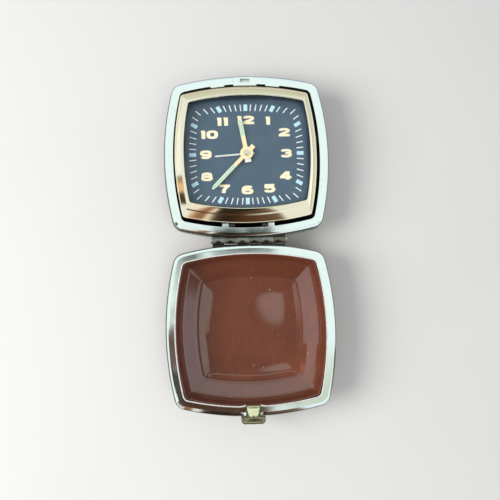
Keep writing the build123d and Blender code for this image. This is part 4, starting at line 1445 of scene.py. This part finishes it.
@dataclass
class Bezel:
    """The gilt bezel: a skirt, four convex facets that meet in mitres, and a lip at the glass.

    Attributes:
        skirt_low: The skirt's lower edge.
        edge_level: The top of its outer edge.
        crest: The top of its lip.
        glass_top: The top of the glass.
        seat: How far the bezel reaches under its own opening, to the glass's seat.
        skirt_top: The height up to which it keeps to the skirt's outline.
        facet_start: The tilt at which the facets' curve starts, in degrees.
        facet_turn: How far the curve turns, in degrees.
        skirt: The skirt's outline.
        outer: The outline of its outer edge.
        sight: The outline of its opening.
    """

    skirt_low: float = 14.0
    edge_level: float = 16.3
    crest: float = 18.7
    glass_top: float = 18.1
    seat: float = 0.9
    skirt_top: float = 15.6
    facet_start: float = 22.0
    facet_turn: float = 44.0
    skirt: BowedSquare = field(default=BowedSquare(28.6, 27.85, 108.0, 1.4, (-0.35, 36.5)))
    outer: BowedSquare = field(default=BowedSquare(28.6, 28.235, 108.0, 1.4, (-0.35, 36.115)))
    sight: BowedSquare = field(default=BowedSquare(25.25, 23.06, 98.0, 1.1, (0.2, 36.74)))

    def profile(self) -> list[tuple[float, float, float]]:
        """The visible side from outside in.

        Returns:
            Shares of the way in, heights and corner rounds.
        """
        rise = self.crest - self.edge_level
        round_corner, mitred_corner = 1.4, 0.25
        rows = [
            (0.0, self.skirt_low, round_corner),
            (0.0, self.skirt_top, round_corner),
            (0.0, self.skirt_top + 0.08, round_corner),
            (0.0, self.edge_level - 0.45, round_corner),
            (0.02, self.edge_level - 0.14, 1.3),
            (0.06, self.edge_level, 1.2),
            (0.09, self.edge_level - 0.02, 0.9),
        ]
        start = math.sin(math.radians(self.facet_start))
        whole = math.sin(math.radians(self.facet_start + self.facet_turn)) - start
        shares = (0.1, 0.17, 0.26, 0.36, 0.48, 0.61, 0.74, 0.86, 0.93)
        for share in shares:
            along = (share - shares[0]) / 0.83
            lift = math.sin(math.radians(self.facet_start + self.facet_turn * along)) - start
            rows.append((share, self.edge_level + 0.04 + (rise - 0.1) * lift / whole, mitred_corner))
        rows += [
            (0.94, self.crest - 0.1, 0.8),
            (0.955, self.crest, 1.0),
            (0.99, self.crest, 1.1),
            (1.0, self.crest - 0.1, 1.1),
            (1.0, self.glass_top + 0.04, 1.1),
        ]
        return rows

    def build(self) -> None:
        """Builds the bezel and lets it ride on the clock frame."""
        draft = Draft()
        rings = []
        for share, level, corner in self.profile():
            plan = self.skirt if level <= self.skirt_top else self.outer.towards(self.sight, share, corner)
            rings.append(draft.ring(plan.ring(Fineness.BEZEL), level))
        seat = BowedSquare(
            self.sight.half_x + self.seat,
            self.sight.half_y + self.seat,
            self.sight.radius + self.seat,
            self.sight.corner,
            self.sight.centre,
        )
        for level in (self.glass_top + 0.04, self.skirt_low):
            rings.append(draft.ring(seat.ring(Fineness.BEZEL), level))
        draft.skin([*rings, rings[0]])
        piece = draft.build("bezel_polished", BEZEL_GILDING, 28.0)
        place_piece(piece, "clock_frame", ["bezel"])


class Stroke:
    """A numeral's stroke: a centre line swept with a nib that is wider than it is tall.

    Attributes:
        STEPS: How many steps its curve takes from one point to the next.
    """

    STEPS = 5

    def __init__(self, *points: Point2, closed: bool = False, smooth: bool = True) -> None:
        """Keeps the centre line.

        Args:
            points: The centre line, in half widths and half heights of the numeral.
            closed: Whether it closes on itself.
            smooth: Whether it curves through its points.
        """
        self.points = points
        self.closed = closed
        self.smooth = smooth

    def line(self) -> list[Point2]:
        """The centre line, curved through its points where it is smooth.

        Returns:
            Its places.
        """
        points = list(self.points)
        if not self.smooth:
            return points
        count = len(points)
        line: list[Point2] = []
        for number in range(count if self.closed else count - 1):
            if self.closed:
                four = [points[(number + step) % count] for step in (-1, 0, 1, 2)]
            else:
                four = [points[min(max(number + step, 0), count - 1)] for step in (-1, 0, 1, 2)]
            line += [self._curve(four, step / self.STEPS) for step in range(self.STEPS)]
        if not self.closed:
            line.append(points[-1])
        return line

    @staticmethod
    def _curve(four: Sequence[Point2], share: float) -> Point2:
        """A place between the second and third of four points, on a curve through them.

        Args:
            four: The points.
            share: The share of the way from the second to the third.

        Returns:
            The place.
        """
        place = []
        for axis in (0, 1):
            a, b, c, d = (point[axis] for point in four)
            place.append(
                b
                + 0.5 * share * (c - a)
                + 0.5 * share**2 * (2 * a - 5 * b + 4 * c - d)
                + 0.5 * share**3 * (3 * b - a - 3 * c + d)
            )
        return place[0], place[1]


def rounded_loop(centre: Point2, half: Point2, count: int = 16) -> Stroke:
    """A closed stroke in the shape of a rounded box.

    Args:
        centre: Its centre.
        half: Its half width and half height.
        count: How many points it has.

    Returns:
        The stroke.
    """
    boxiness = 0.62
    points = []
    for step in range(count):
        angle = math.tau * step / count
        across, along = math.cos(angle), math.sin(angle)
        points.append(
            (
                centre[0] + half[0] * math.copysign(abs(across) ** boxiness, across),
                centre[1] + half[1] * math.copysign(abs(along) ** boxiness, along),
            )
        )
    return Stroke(*points, closed=True)


SIX = (
    Stroke((0.95, 0.66), (0.72, 0.93), (0.2, 1.0), (-0.45, 0.96), (-0.9, 0.62), (-1.0, 0.0), (-0.98, -0.4)),
    rounded_loop((0.0, -0.44), (1.0, 0.56)),
)

DIGITS: dict[str, tuple[Stroke, ...]] = {
    "0": (rounded_loop((0.0, 0.0), (1.0, 1.0), 20),),
    "1": (
        Stroke((0.1, 1.36), (0.1, -1.36), smooth=False),
        Stroke((-0.52, 1.0), (0.1, 1.0), smooth=False),
    ),
    "2": (
        Stroke(
            (-1.0, 0.5),
            (-0.82, 0.9),
            (-0.25, 1.0),
            (0.45, 0.98),
            (0.96, 0.66),
            (0.8, 0.2),
            (0.1, -0.2),
            (-0.75, -0.62),
            (-0.98, -0.98),
        ),
        Stroke((-1.46, -1.0), (1.46, -1.0), smooth=False),
    ),
    "3": (
        Stroke((-1.0, 0.58), (-0.8, 0.92), (-0.2, 1.0), (0.5, 0.98), (0.93, 0.6), (0.62, 0.12), (-0.2, 0.06)),
        Stroke((-0.2, 0.0), (0.65, -0.02), (1.0, -0.46), (0.62, -0.95), (-0.1, -1.0), (-0.78, -0.93), (-1.02, -0.55)),
    ),
    "4": (
        Stroke((0.3, 1.1), (-1.05, -0.42), smooth=False),
        Stroke((-1.5, -0.55), (1.46, -0.55), smooth=False),
        Stroke((0.5, 1.36), (0.5, -1.36), smooth=False),
    ),
    "5": (
        Stroke((-1.2, 1.0), (1.25, 1.0), smooth=False),
        Stroke((-0.78, 1.2), (-0.86, 0.0), smooth=False),
        Stroke(
            (-0.86, 0.12),
            (-0.1, 0.3),
            (0.7, 0.22),
            (1.0, -0.32),
            (0.68, -0.92),
            (-0.1, -1.0),
            (-0.78, -0.93),
            (-1.02, -0.58),
        ),
    ),
    "6": SIX,
    "7": (
        Stroke((-1.36, 1.0), (1.4, 1.0), smooth=False),
        Stroke((0.95, 0.95), (0.3, 0.28), (-0.12, -0.4), (-0.25, -1.36)),
    ),
    "8": (
        rounded_loop((0.0, 0.52), (0.86, 0.48)),
        rounded_loop((0.0, -0.46), (1.0, 0.54)),
    ),
    "9": tuple(
        Stroke(*((-x, -y) for x, y in stroke.points), closed=stroke.closed, smooth=stroke.smooth) for stroke in SIX
    ),
}


@dataclass
class DialPrint:
    """The dial's print: minute ticks, hour blocks and numerals.

    Attributes:
        dial_y: The Y of the dial's centre.
        level: The top of the dial.
        film: The print's thickness.
        track: The outline on which the marks end, from the dial's centre.
        tick_length: How long the marks are.
        tick_width: How wide a minute's tick is.
        block_width: How wide an hour's block is.
        nib: Width and height of the pen that draws the numerals.
        reach: Half a digit's width and height between the strokes' centre lines.
        digit_width: The width that a digit takes up in its numeral.
        one_width: The width that the digit 1 takes up.
        digit_gap: The gap between two digits.
        ones_gap: The gap between the two digits of 11.
        stroke_lift: How much higher each further stroke of a digit ends.
        places: The numerals' centres, from the dial's centre.
    """

    dial_y: float = DIAL_Y
    level: float = 14.5
    film: float = 0.03
    track: BowedSquare = field(default=BowedSquare(23.15, 20.75, 86.0, 0.5))
    tick_length: float = 2.75
    tick_width: float = 0.42
    block_width: float = 1.55
    nib: Point2 = (1.58, 1.0)
    reach: Point2 = (1.56, 1.26)
    digit_width: float = 4.7
    one_width: float = 1.9
    digit_gap: float = 0.45
    ones_gap: float = 0.75
    stroke_lift: float = 0.004
    places: Mapping[str, Point2] = field(
        default_factory=lambda: {
            "12": (0.0, 14.2),
            "1": (9.0, 13.75),
            "2": (15.6, 8.8),
            "3": (16.1, 0.0),
            "4": (15.6, -9.2),
            "5": (8.9, -14.3),
            "6": (0.0, -14.8),
            "7": (-9.2, -14.2),
            "8": (-16.2, -9.1),
            "9": (-16.5, 0.0),
            "10": (-14.9, 8.3),
            "11": (-9.5, 13.65),
        }
    )

    def _mark(self, draft: Draft, minute: int, width: float) -> None:
        """Adds one radial mark whose outer end lies on the track.

        Args:
            draft: The draft to add to.
            minute: The minute it marks.
            width: Its width.
        """
        angle = math.radians(6 * minute)
        out = (math.sin(angle), math.cos(angle))
        aside = (out[1], -out[0])
        far = self.track.edge_along(angle)
        near = far - self.tick_length
        outline = []
        for distance, side in ((near, 1), (far, 1), (far, -1), (near, -1)):
            x = out[0] * distance + aside[0] * side * width / 2
            y = self.dial_y + out[1] * distance + aside[1] * side * width / 2
            outline.append((x, y))
        draft.block(outline, self.level, self.level + self.film)

    def marks(self, blocks: bool) -> bpy.types.Object:
        """The hour blocks, or the ticks between them.

        Args:
            blocks: Whether the hour blocks are wanted.

        Returns:
            The piece.
        """
        draft = Draft()
        for minute in range(60):
            if (minute % 5 == 0) == blocks:
                self._mark(draft, minute, self.block_width if blocks else self.tick_width)
        if blocks:
            return draft.build("dial_hour_blocks", BLOCK_GLOW, None)
        return draft.build("dial_minute_ticks", TICK_WHITE, None)

    def _sweep(self, draft: Draft, stroke: Stroke, centre: Point2, lift: float) -> None:
        """Adds one stroke of a numeral.

        Args:
            draft: The draft to add to.
            stroke: The stroke.
            centre: The numeral's centre.
            lift: How much higher than the film it ends.
        """
        line = [(x * self.reach[0], y * self.reach[1]) for x, y in stroke.line()]
        count = len(line)
        sides: tuple[list[Point2], list[Point2]] = ([], [])
        for number, (x, y) in enumerate(line):
            if stroke.closed:
                before, after = line[number - 1], line[(number + 1) % count]
            else:
                before, after = line[max(0, number - 1)], line[min(count - 1, number + 1)]
            run = math.dist(before, after)
            across, along = -(after[1] - before[1]) / run, (after[0] - before[0]) / run
            for side, points in zip((1, -1), sides):
                points.append(
                    (
                        centre[0] + x + side * across * self.nib[0] / 2,
                        centre[1] + y + side * along * self.nib[1] / 2,
                    )
                )
        top = self.level + self.film + lift
        rings = [draft.ring(sides[0], self.level), draft.ring(sides[0], top)]
        rings += [draft.ring(sides[1], top), draft.ring(sides[1], self.level)]
        draft.skin(rings, closed=stroke.closed)
        if not stroke.closed:
            draft.cap([ring[0] for ring in rings])
            draft.cap([ring[-1] for ring in rings], turned=True)

    def numerals(self) -> bpy.types.Object:
        """The twelve numerals, drawn in wide bold strokes.

        Returns:
            The piece.
        """
        draft = Draft()
        for text, (x, y) in self.places.items():
            sizes = [self.one_width if digit == "1" else self.digit_width for digit in text]
            gap = self.ones_gap if text == "11" else self.digit_gap
            left = x - (sum(sizes) + gap * (len(text) - 1)) / 2
            for digit, size in zip(text, sizes):
                centre = (left + size / 2, self.dial_y + y)
                for number, stroke in enumerate(DIGITS[digit]):
                    self._sweep(draft, stroke, centre, self.stroke_lift * number)
                left += size + gap
        return draft.build("dial_numerals", NUMERAL_CREAM, None)

    def build(self) -> None:
        """Builds the print and lets it ride on the clock frame."""
        place_piece(self.marks(blocks=False), "clock_frame")
        place_piece(self.marks(blocks=True), "clock_frame")
        place_piece(self.numerals(), "clock_frame")


@dataclass
class HandPaint:
    """What is laid on the hands: glowing inlays, the pale tail and the bright centre.

    Attributes:
        dial_y: The Y of the dial's centre.
        film: The thickness of the inlays and the tail.
        hour_angle: The hour hand's angle, in degrees clockwise from 12.
        hour_top: The hour hand's upper face.
        hour_inlay: Start, end and half width of the hour hand's inlay.
        minute_angle: The minute hand's angle, in degrees clockwise from 12.
        minute_top: The minute hand's upper face.
        minute_inlay: Start, end and half width of the minute hand's inlay.
        inlay_bevel: How long the narrowed end of an inlay is.
        tail_span: Start and end of the tail along the hour hand.
        tail_half: Half the tail's width.
        collar_radius: Radius of the bright collar on the minute hand.
        collar_height: How high the collar stands over the hand.
        pin_radius: Radius of the pin's head.
        pin_height: How high the pin's head stands over the hand.
    """

    dial_y: float = DIAL_Y
    film: float = 0.05
    hour_angle: float = 350.1
    hour_top: float = 15.6
    hour_inlay: Point3 = (7.4, 14.1, 0.62)
    minute_angle: float = 223.96
    minute_top: float = 16.25
    minute_inlay: Point3 = (7.2, 19.9, 0.52)
    inlay_bevel: float = 0.3
    tail_span: Point2 = (-3.65, -1.9)
    tail_half: float = 1.2
    collar_radius: float = 1.45
    collar_height: float = 0.2
    pin_radius: float = 0.85
    pin_height: float = 0.55

    def _turned(self, angle: float, outline: Iterable[Point2]) -> list[Point2]:
        """An outline drawn along a hand, put in its place on the dial.

        Args:
            angle: The hand's angle, in degrees clockwise from 12.
            outline: Places along and to the left of the hand.

        Returns:
            The outline in plan.
        """
        lean = math.radians(90 - angle)
        cosine, sine = math.cos(lean), math.sin(lean)
        return [(x * cosine - y * sine, self.dial_y + x * sine + y * cosine) for x, y in outline]

    def inlay(self, name: str, angle: float, top: float, span: Point3) -> bpy.types.Object:
        """A thin inlay along a hand.

        Args:
            name: The piece's name.
            angle: The hand's angle.
            top: The hand's upper face.
            span: Where the inlay starts, where it ends and half its width.

        Returns:
            The piece.
        """
        draft = Draft()
        near, far, half = span
        bevel = far - self.inlay_bevel
        outline = [(near, -half), (bevel, -half), (far, -half * 0.7), (far, half * 0.7), (bevel, half), (near, half)]
        draft.block(self._turned(angle, outline), top, top + self.film)
        return draft.build(name, HAND_GLOW, None)

    def tail(self) -> bpy.types.Object:
        """The white tail of the hour hand.

        Returns:
            The piece.
        """
        draft = Draft()
        (near, far), half = self.tail_span, self.tail_half
        outline = [(near, -half), (far, -half), (far, half), (near, half)]
        draft.block(self._turned(self.hour_angle, outline), self.hour_top, self.hour_top + self.film)
        return draft.build("hour_tail_white", TAIL_WHITE, None)

    def round_plate(self, name: str, radius: float, low: float, high: float, finish: Finish) -> bpy.types.Object:
        """A small domed round plate at the centre.

        Args:
            name: The piece's name.
            radius: Its radius.
            low: Its underside.
            high: Its top.
            finish: Its finish.

        Returns:
            The piece.
        """
        draft = Draft()
        rings = []
        for share, level in ((1.0, low), (1.0, mixed(low, high, 0.6)), (0.86, mixed(low, high, 0.93)), (0.5, high)):
            plan = []
            for step in range(32):
                angle = math.tau * step / 32
                plan.append((radius * share * math.cos(angle), self.dial_y + radius * share * math.sin(angle)))
            rings.append(draft.ring(plan, level))
        draft.skin(rings)
        draft.cap(rings[-1])
        return draft.build(name, finish, 40.0)

    def build(self) -> None:
        """Builds the inlays, the tail and the centre."""
        inlay = self.inlay("hour_hand_inlay", self.hour_angle, self.hour_top, self.hour_inlay)
        place_piece(inlay, "hour")
        place_piece(self.tail(), "hour")
        inlay = self.inlay("minute_hand_inlay", self.minute_angle, self.minute_top, self.minute_inlay)
        place_piece(inlay, "minute")
        step = self.minute_top + self.collar_height
        tip = self.minute_top + self.pin_height
        collar = self.round_plate("minute_hand_collar", self.collar_radius, self.minute_top, step, HUB_GILDING)
        place_piece(collar, "minute")
        pin = self.round_plate("centre_pin_head", self.pin_radius, step, tip, PIN_STEEL)
        place_piece(pin, "minute")


# ---------------------------------------------------------------------------------------------
# CAD nodes that stay, with their finishes
# ---------------------------------------------------------------------------------------------


@dataclass
class CadDress:
    """Gives each CAD node that stays its finish.

    Attributes:
        nodes: The CAD nodes by name.
        rim_softness: The width of the rounding of the rims' edges.
        leaf_softness: The width of the rounding of the hinge leaves' edges.
    """

    nodes: Mapping[str, bpy.types.Object]
    rim_softness: float = 0.1
    leaf_softness: float = 0.06

    def finishes(self) -> dict[str, Finish]:
        """The finish of each slot of the record.

        Returns:
            The finishes by slot.
        """
        return {
            "rim_metal": RIM_PLATING,
            "bead_metal": BEAD_PLATING,
            "shell_plastic": SHELL_BROWN,
            "lining_black": TRAY_BLACK,
            "lining_brown": LID_BROWN,
            "hinge_metal": CASE_LEAF_PLATING,
            "steel": WORKS_STEEL,
            "spring_steel": SPRING_STEEL,
            "clasp_brass": TONGUE_GILDING,
            "thumb_brass": THUMB_GILDING,
            "bezel_gold": BEZEL_GILDING,
            "clear_glass": PANE,
            "ring_paint": RING_PAINT_AND_SHADE,
            # The dial's second colour is its painted shade at the border.
            "dial_paint": DialLacquer("dial_lacquer_and_shade", srgb(74, 95, 113), srgb(26, 50, 66), DIAL_Y),
            "housing_metal": COVER_ENAMEL,
            "movement_brass": WORKS_BRASS,
            "knurled_brass": KNURL_BRASS,
            "hand_cream": CREAM_PAINT,
            "alarm_hand_paint": ALARM_PALE,
        }

    def build(self) -> None:
        """Dresses the nodes."""
        finishes = self.finishes()
        for name, piece in self.nodes.items():
            for slot in piece.material_slots:
                key = slot.material.name.split(".")[0] if slot.material else ""
                slot.material = SHELF.take(finishes.get(key, WORKS_STEEL))
            LOG.info("node %s dressed", name)
        for slot in self.nodes["lid_hinge_leaf"].material_slots:
            slot.material = SHELF.take(LID_LEAF_PLATING)
        for name in ("case_rim", "lid_rim"):
            soften_edges(self.nodes[name], self.rim_softness)
        for name in ("case_hinge_leaf", "lid_hinge_leaf"):
            soften_edges(self.nodes[name], self.leaf_softness)


# ---------------------------------------------------------------------------------------------
# Studio
# ---------------------------------------------------------------------------------------------


PALE_SKY: Rgb = (0.93, 1.02, 1.0)


class Room:
    """The room that the metal mirrors, painted on the dome by direction."""

    def __init__(self, graph: Graph) -> None:
        """Takes the world's graph and splits its directions.

        Args:
            graph: The world's graph.
        """
        self.graph = graph
        way = graph.add("ShaderNodeTexCoord").outputs["Generated"]
        self.east, self.north, self.up = graph.axes(way)
        height = self.up.larger(0.08)
        self.across = self.east / height
        self.along = self.north / height

    def band(self, value: Signal, low: float, high: float, soft: float) -> Signal:
        """A soft band of a value: 1 between low and high, 0 outside."""
        return value.step(low - soft, low + soft) * value.step(high + soft, high - soft)

    def pane(self, across: Point2, along: Point2, soft: float) -> Signal:
        """A soft-edged pane overhead, given by its edges in leans from the zenith."""
        return self.band(self.across, *across, soft) * self.band(self.along, *along, soft)

    def oval(self, centre: Point2, half: Point2, soft: float) -> Signal:
        """A soft oval overhead, given by its centre and half widths in leans from the zenith."""
        far = ((self.across - centre[0]) / half[0]) ** 2.0 + ((self.along - centre[1]) / half[1]) ** 2.0
        return far.step(1 + soft, 1 - soft)

    def south_wall(self) -> Tint:
        """The south wall from its west end to its east, dark brown between bright openings.

        Returns:
            The wall's colour.
        """
        low_stops = (
            (0.09, (0.92, 0.94, 0.92)),
            (0.135, (0.55, 0.34, 0.20)),
            (0.17, (0.26, 0.12, 0.06)),
            (0.222, (0.30, 0.14, 0.07)),
            (0.234, (0.98, 0.94, 0.90)),
            (0.266, (0.88, 0.78, 0.66)),
            (0.278, (0.032, 0.020, 0.012)),
            (0.41, (0.028, 0.018, 0.010)),
            (0.46, (0.060, 0.028, 0.012)),
            (0.60, (0.105, 0.055, 0.034)),
            (0.765, (0.170, 0.105, 0.075)),
            (0.80, (0.87, 0.93, 0.98)),
        )
        high_stops = ((0.50, (0.085, 0.045, 0.028)), (0.70, PALE_SKY))
        lean = self.east / (0.0 - self.north).larger(0.05) + 0.5
        low, high = (
            Tint(self.graph, self.graph.add("ShaderNodeValToRGB", {"stops": stops}, {0: lean}).outputs[0])
            for stops in (low_stops, high_stops)
        )
        return low.towards(high, self.up.step(0.735, 0.75) * self.up.step(0.79, 0.77))

    def walls(self) -> tuple[tuple[Tint | Rgb, Signal], ...]:
        """The walls and what stands along them, in the order in which they cover each other.

        Returns:
            Colours and masks.
        """
        west = self.east.step(-0.84, -0.9) * self.up.step(0.48, 0.40)
        return (
            # Bluer light low down all round, and a dimmer north end.
            ((0.87, 0.96, 1.10), self.up.step(0.6, 0.4)),
            ((0.66, 0.74, 0.68), self.north.step(0.89, 0.96)),
            # The dark south-east corner and the brown south wall.
            ((0.10, 0.07, 0.06), self.east.step(0.76, 0.84) * self.north.step(-0.1, -0.16)),
            (self.south_wall(), self.north.step(-0.30, -0.38)),
            # The bright windows in the east and in the north-west.
            ((1.12, 1.22, 1.30), self.east.step(0.90, 0.96)),
            ((1.00, 1.10, 1.16), self.east.step(-0.86, -0.92) * self.north.step(0.16, 0.19)),
            # The west window's jamb: grey-brown, warm and dark from north to south.
            ((0.39, 0.28, 0.22), west * self.band(self.north, 0.12, 0.165, 0.008)),
            ((0.90, 0.58, 0.36), west * self.band(self.north, 0.08, 0.13, 0.01)),
            ((0.05, 0.035, 0.02), west * self.band(self.north, 0.015, 0.08, 0.008)),
        )

    def overhead(self) -> tuple[tuple[Rgb, Signal], ...]:
        """What hangs overhead, in the order in which it covers itself.

        Returns:
            Colours and masks.
        """
        dark = (0.030, 0.026, 0.022)
        olive = (0.05, 0.045, 0.028)
        wine = (0.14, 0.058, 0.045)
        green = (0.012, 0.020, 0.013)
        gap = self.oval((0.083, 0.016), (0.046, 0.052), 0.4)
        return (
            # Three dim clouds.
            ((0.62, 0.67, 0.54), self.oval((0.2, -0.22), (0.11, 0.12), 0.9)),
            ((0.60, 0.65, 0.50), self.oval((0.8, -0.32), (0.25, 0.15), 0.6)),
            ((0.20, 0.21, 0.19), self.oval((-0.2, 0.72), (0.12, 0.10), 0.5)),
            # Two dark things in the west.
            (wine, self.pane((-1.0, -0.55), (-0.17, -0.05), 0.02)),
            (olive, self.pane((-1.0, -0.55), (-0.36, -0.17), 0.02)),
            # The dark stand straight above, with a gap in it, and what is fixed round it.
            (dark, self.pane((-0.106, 0.106), (-0.168, 0.082), 0.007) * (1 - gap)),
            ((0.085, 0.036, 0.022), self.pane((-0.3, 0.06), (-0.27, -0.155), 0.014)),
            (wine, self.pane((-0.19, -0.103), (-0.112, -0.03), 0.014)),
            (olive, self.pane((-0.19, -0.103), (-0.172, -0.110), 0.006)),
            ((0.09, 0.095, 0.08), self.pane((-0.117, -0.066), (0.086, 0.13), 0.008)),
            (green, self.pane((-0.04, 0.072), (0.10, 0.152), 0.006)),
            # A dark round thing farther south.
            (green, self.oval((-0.012, -0.42), (0.10, 0.13), 0.3)),
        )

    def paint(self) -> Tint:
        """The room's colour in every direction.

        Returns:
            The colour.
        """
        room = self.graph.colour(PALE_SKY)
        for colour, mask in (*self.walls(), *self.overhead()):
            room = room.towards(colour, mask)
        return room


@dataclass(frozen=True)
class Lamp:
    """One soft round lamp that looks at the clock and isn't mirrored.

    Attributes:
        name: Its name.
        place: Its place, in millimetres.
        size: Its width, in millimetres.
        power: Its power, in watts.
        tint: Its colour.
    """

    name: str
    place: Point3
    size: float
    power: float
    tint: Rgb

    def build(self) -> None:
        """Hangs the lamp."""
        data = bpy.data.lights.new(self.name, "AREA")
        data.shape = "DISK"
        data.size = self.size * MM
        data.energy = self.power
        data.color = self.tint
        lamp = bpy.data.objects.new(self.name, data)
        spot = Vector(self.place) * MM
        lamp.location = spot
        lamp.rotation_euler = (-spot).to_track_quat("-Z", "Y").to_euler()
        lamp.visible_glossy = False
        bpy.context.scene.collection.objects.link(lamp)


@dataclass
class Studio:
    """The pale floor, the soft lamps, the dome that metal mirrors, and the camera.

    Attributes:
        camera_place: The camera's place, in millimetres.
        camera_turn: The camera's turn about X, Y and Z, in degrees.
        lens_pixels: The lens's reach, in pixels of the picture.
        picture: The picture's width, in pixels.
        floor_half: Half the floor's width.
        floor_level: The floor's height, a hair under the shells' feet.
        even_light: The colour of the even light from all round.
        backdrop: The colour behind the floor.
        lamps: The lamps.
    """

    camera_place: Point3 = (-5.5, -25.1, 227.8)
    camera_turn: Point3 = (6.08, -1.41, -1.52)
    lens_pixels: float = 540.0
    picture: float = 500.0
    floor_half: float = 2500.0
    floor_level: float = -0.01
    even_light: Rgb = (0.44, 0.445, 0.45)
    backdrop: Rgb = (0.86, 0.86, 0.855)
    lamps: Sequence[Lamp] = (
        Lamp("window_lamp", (-600.0, -60.0, 480.0), 520.0, 5.9, (1.0, 0.995, 0.98)),
        Lamp("room_lamp", (120.0, -260.0, 700.0), 500.0, 1.3, (1.0, 1.0, 0.99)),
    )

    def floor(self) -> None:
        """The plain pale floor."""
        draft = Draft()
        half = self.floor_half
        draft.cap(draft.ring([(-half, -half), (half, -half), (half, half), (-half, half)], self.floor_level))
        draft.build("floor", FLOOR_PAPER, None)

    def dome(self) -> None:
        """What surrounds the clock: an even pale light, and the room that its metal mirrors."""
        world = bpy.data.worlds.new("room")
        world.use_nodes = True
        bpy.context.scene.world = world
        graph = Graph(world.node_tree)
        room = Room(graph).paint()
        paths = graph.add("ShaderNodeLightPath").outputs
        seen = Signal(graph, paths["Is Camera Ray"]).larger(Signal(graph, paths["Is Transmission Ray"]))
        mirrored = Signal(graph, paths["Is Glossy Ray"])
        light = graph.blend(self.even_light, self.backdrop, seen)
        light = light.towards(room, mirrored)
        shader = graph.add("ShaderNodeBackground", {}, {"Color": light, "Strength": 1.0})
        graph.add("ShaderNodeOutputWorld", {}, {"Surface": shader.outputs[0]})

    def camera(self) -> None:
        """The camera, at the photograph's angle."""
        data = bpy.data.cameras.new("camera")
        data.sensor_width = 36.0
        data.lens = data.sensor_width * self.lens_pixels / self.picture
        data.clip_start = 0.005
        camera = bpy.data.objects.new("camera", data)
        camera.location = Vector(self.camera_place) * MM
        camera.rotation_euler = tuple(math.radians(angle) for angle in self.camera_turn)
        bpy.context.scene.collection.objects.link(camera)
        bpy.context.scene.camera = camera

    def build(self) -> None:
        """Sets the studio up."""
        self.floor()
        for lamp in self.lamps:
            lamp.build()
        self.dome()
        self.camera()
        bpy.context.scene.view_settings.view_transform = "Standard"


def main() -> None:
    """Builds every sub-assembly in order."""
    logging.basicConfig(level=logging.INFO, format="%(message)s")
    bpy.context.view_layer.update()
    CadDress(frame["nodes"]).build()
    CaseHalf("case", "case", 35.95).build()
    CaseHalf("lid", "lid", -33.55, gap_at_clasp=5.0).build()
    StrikePlate().build()
    LidInside().build()
    Clasp().build()
    Bezel().build()
    DialPrint().build()
    HandPaint().build()
    Studio().build()
    LOG.info("all pieces are in place")


if __name__ == "__main__":
    main()
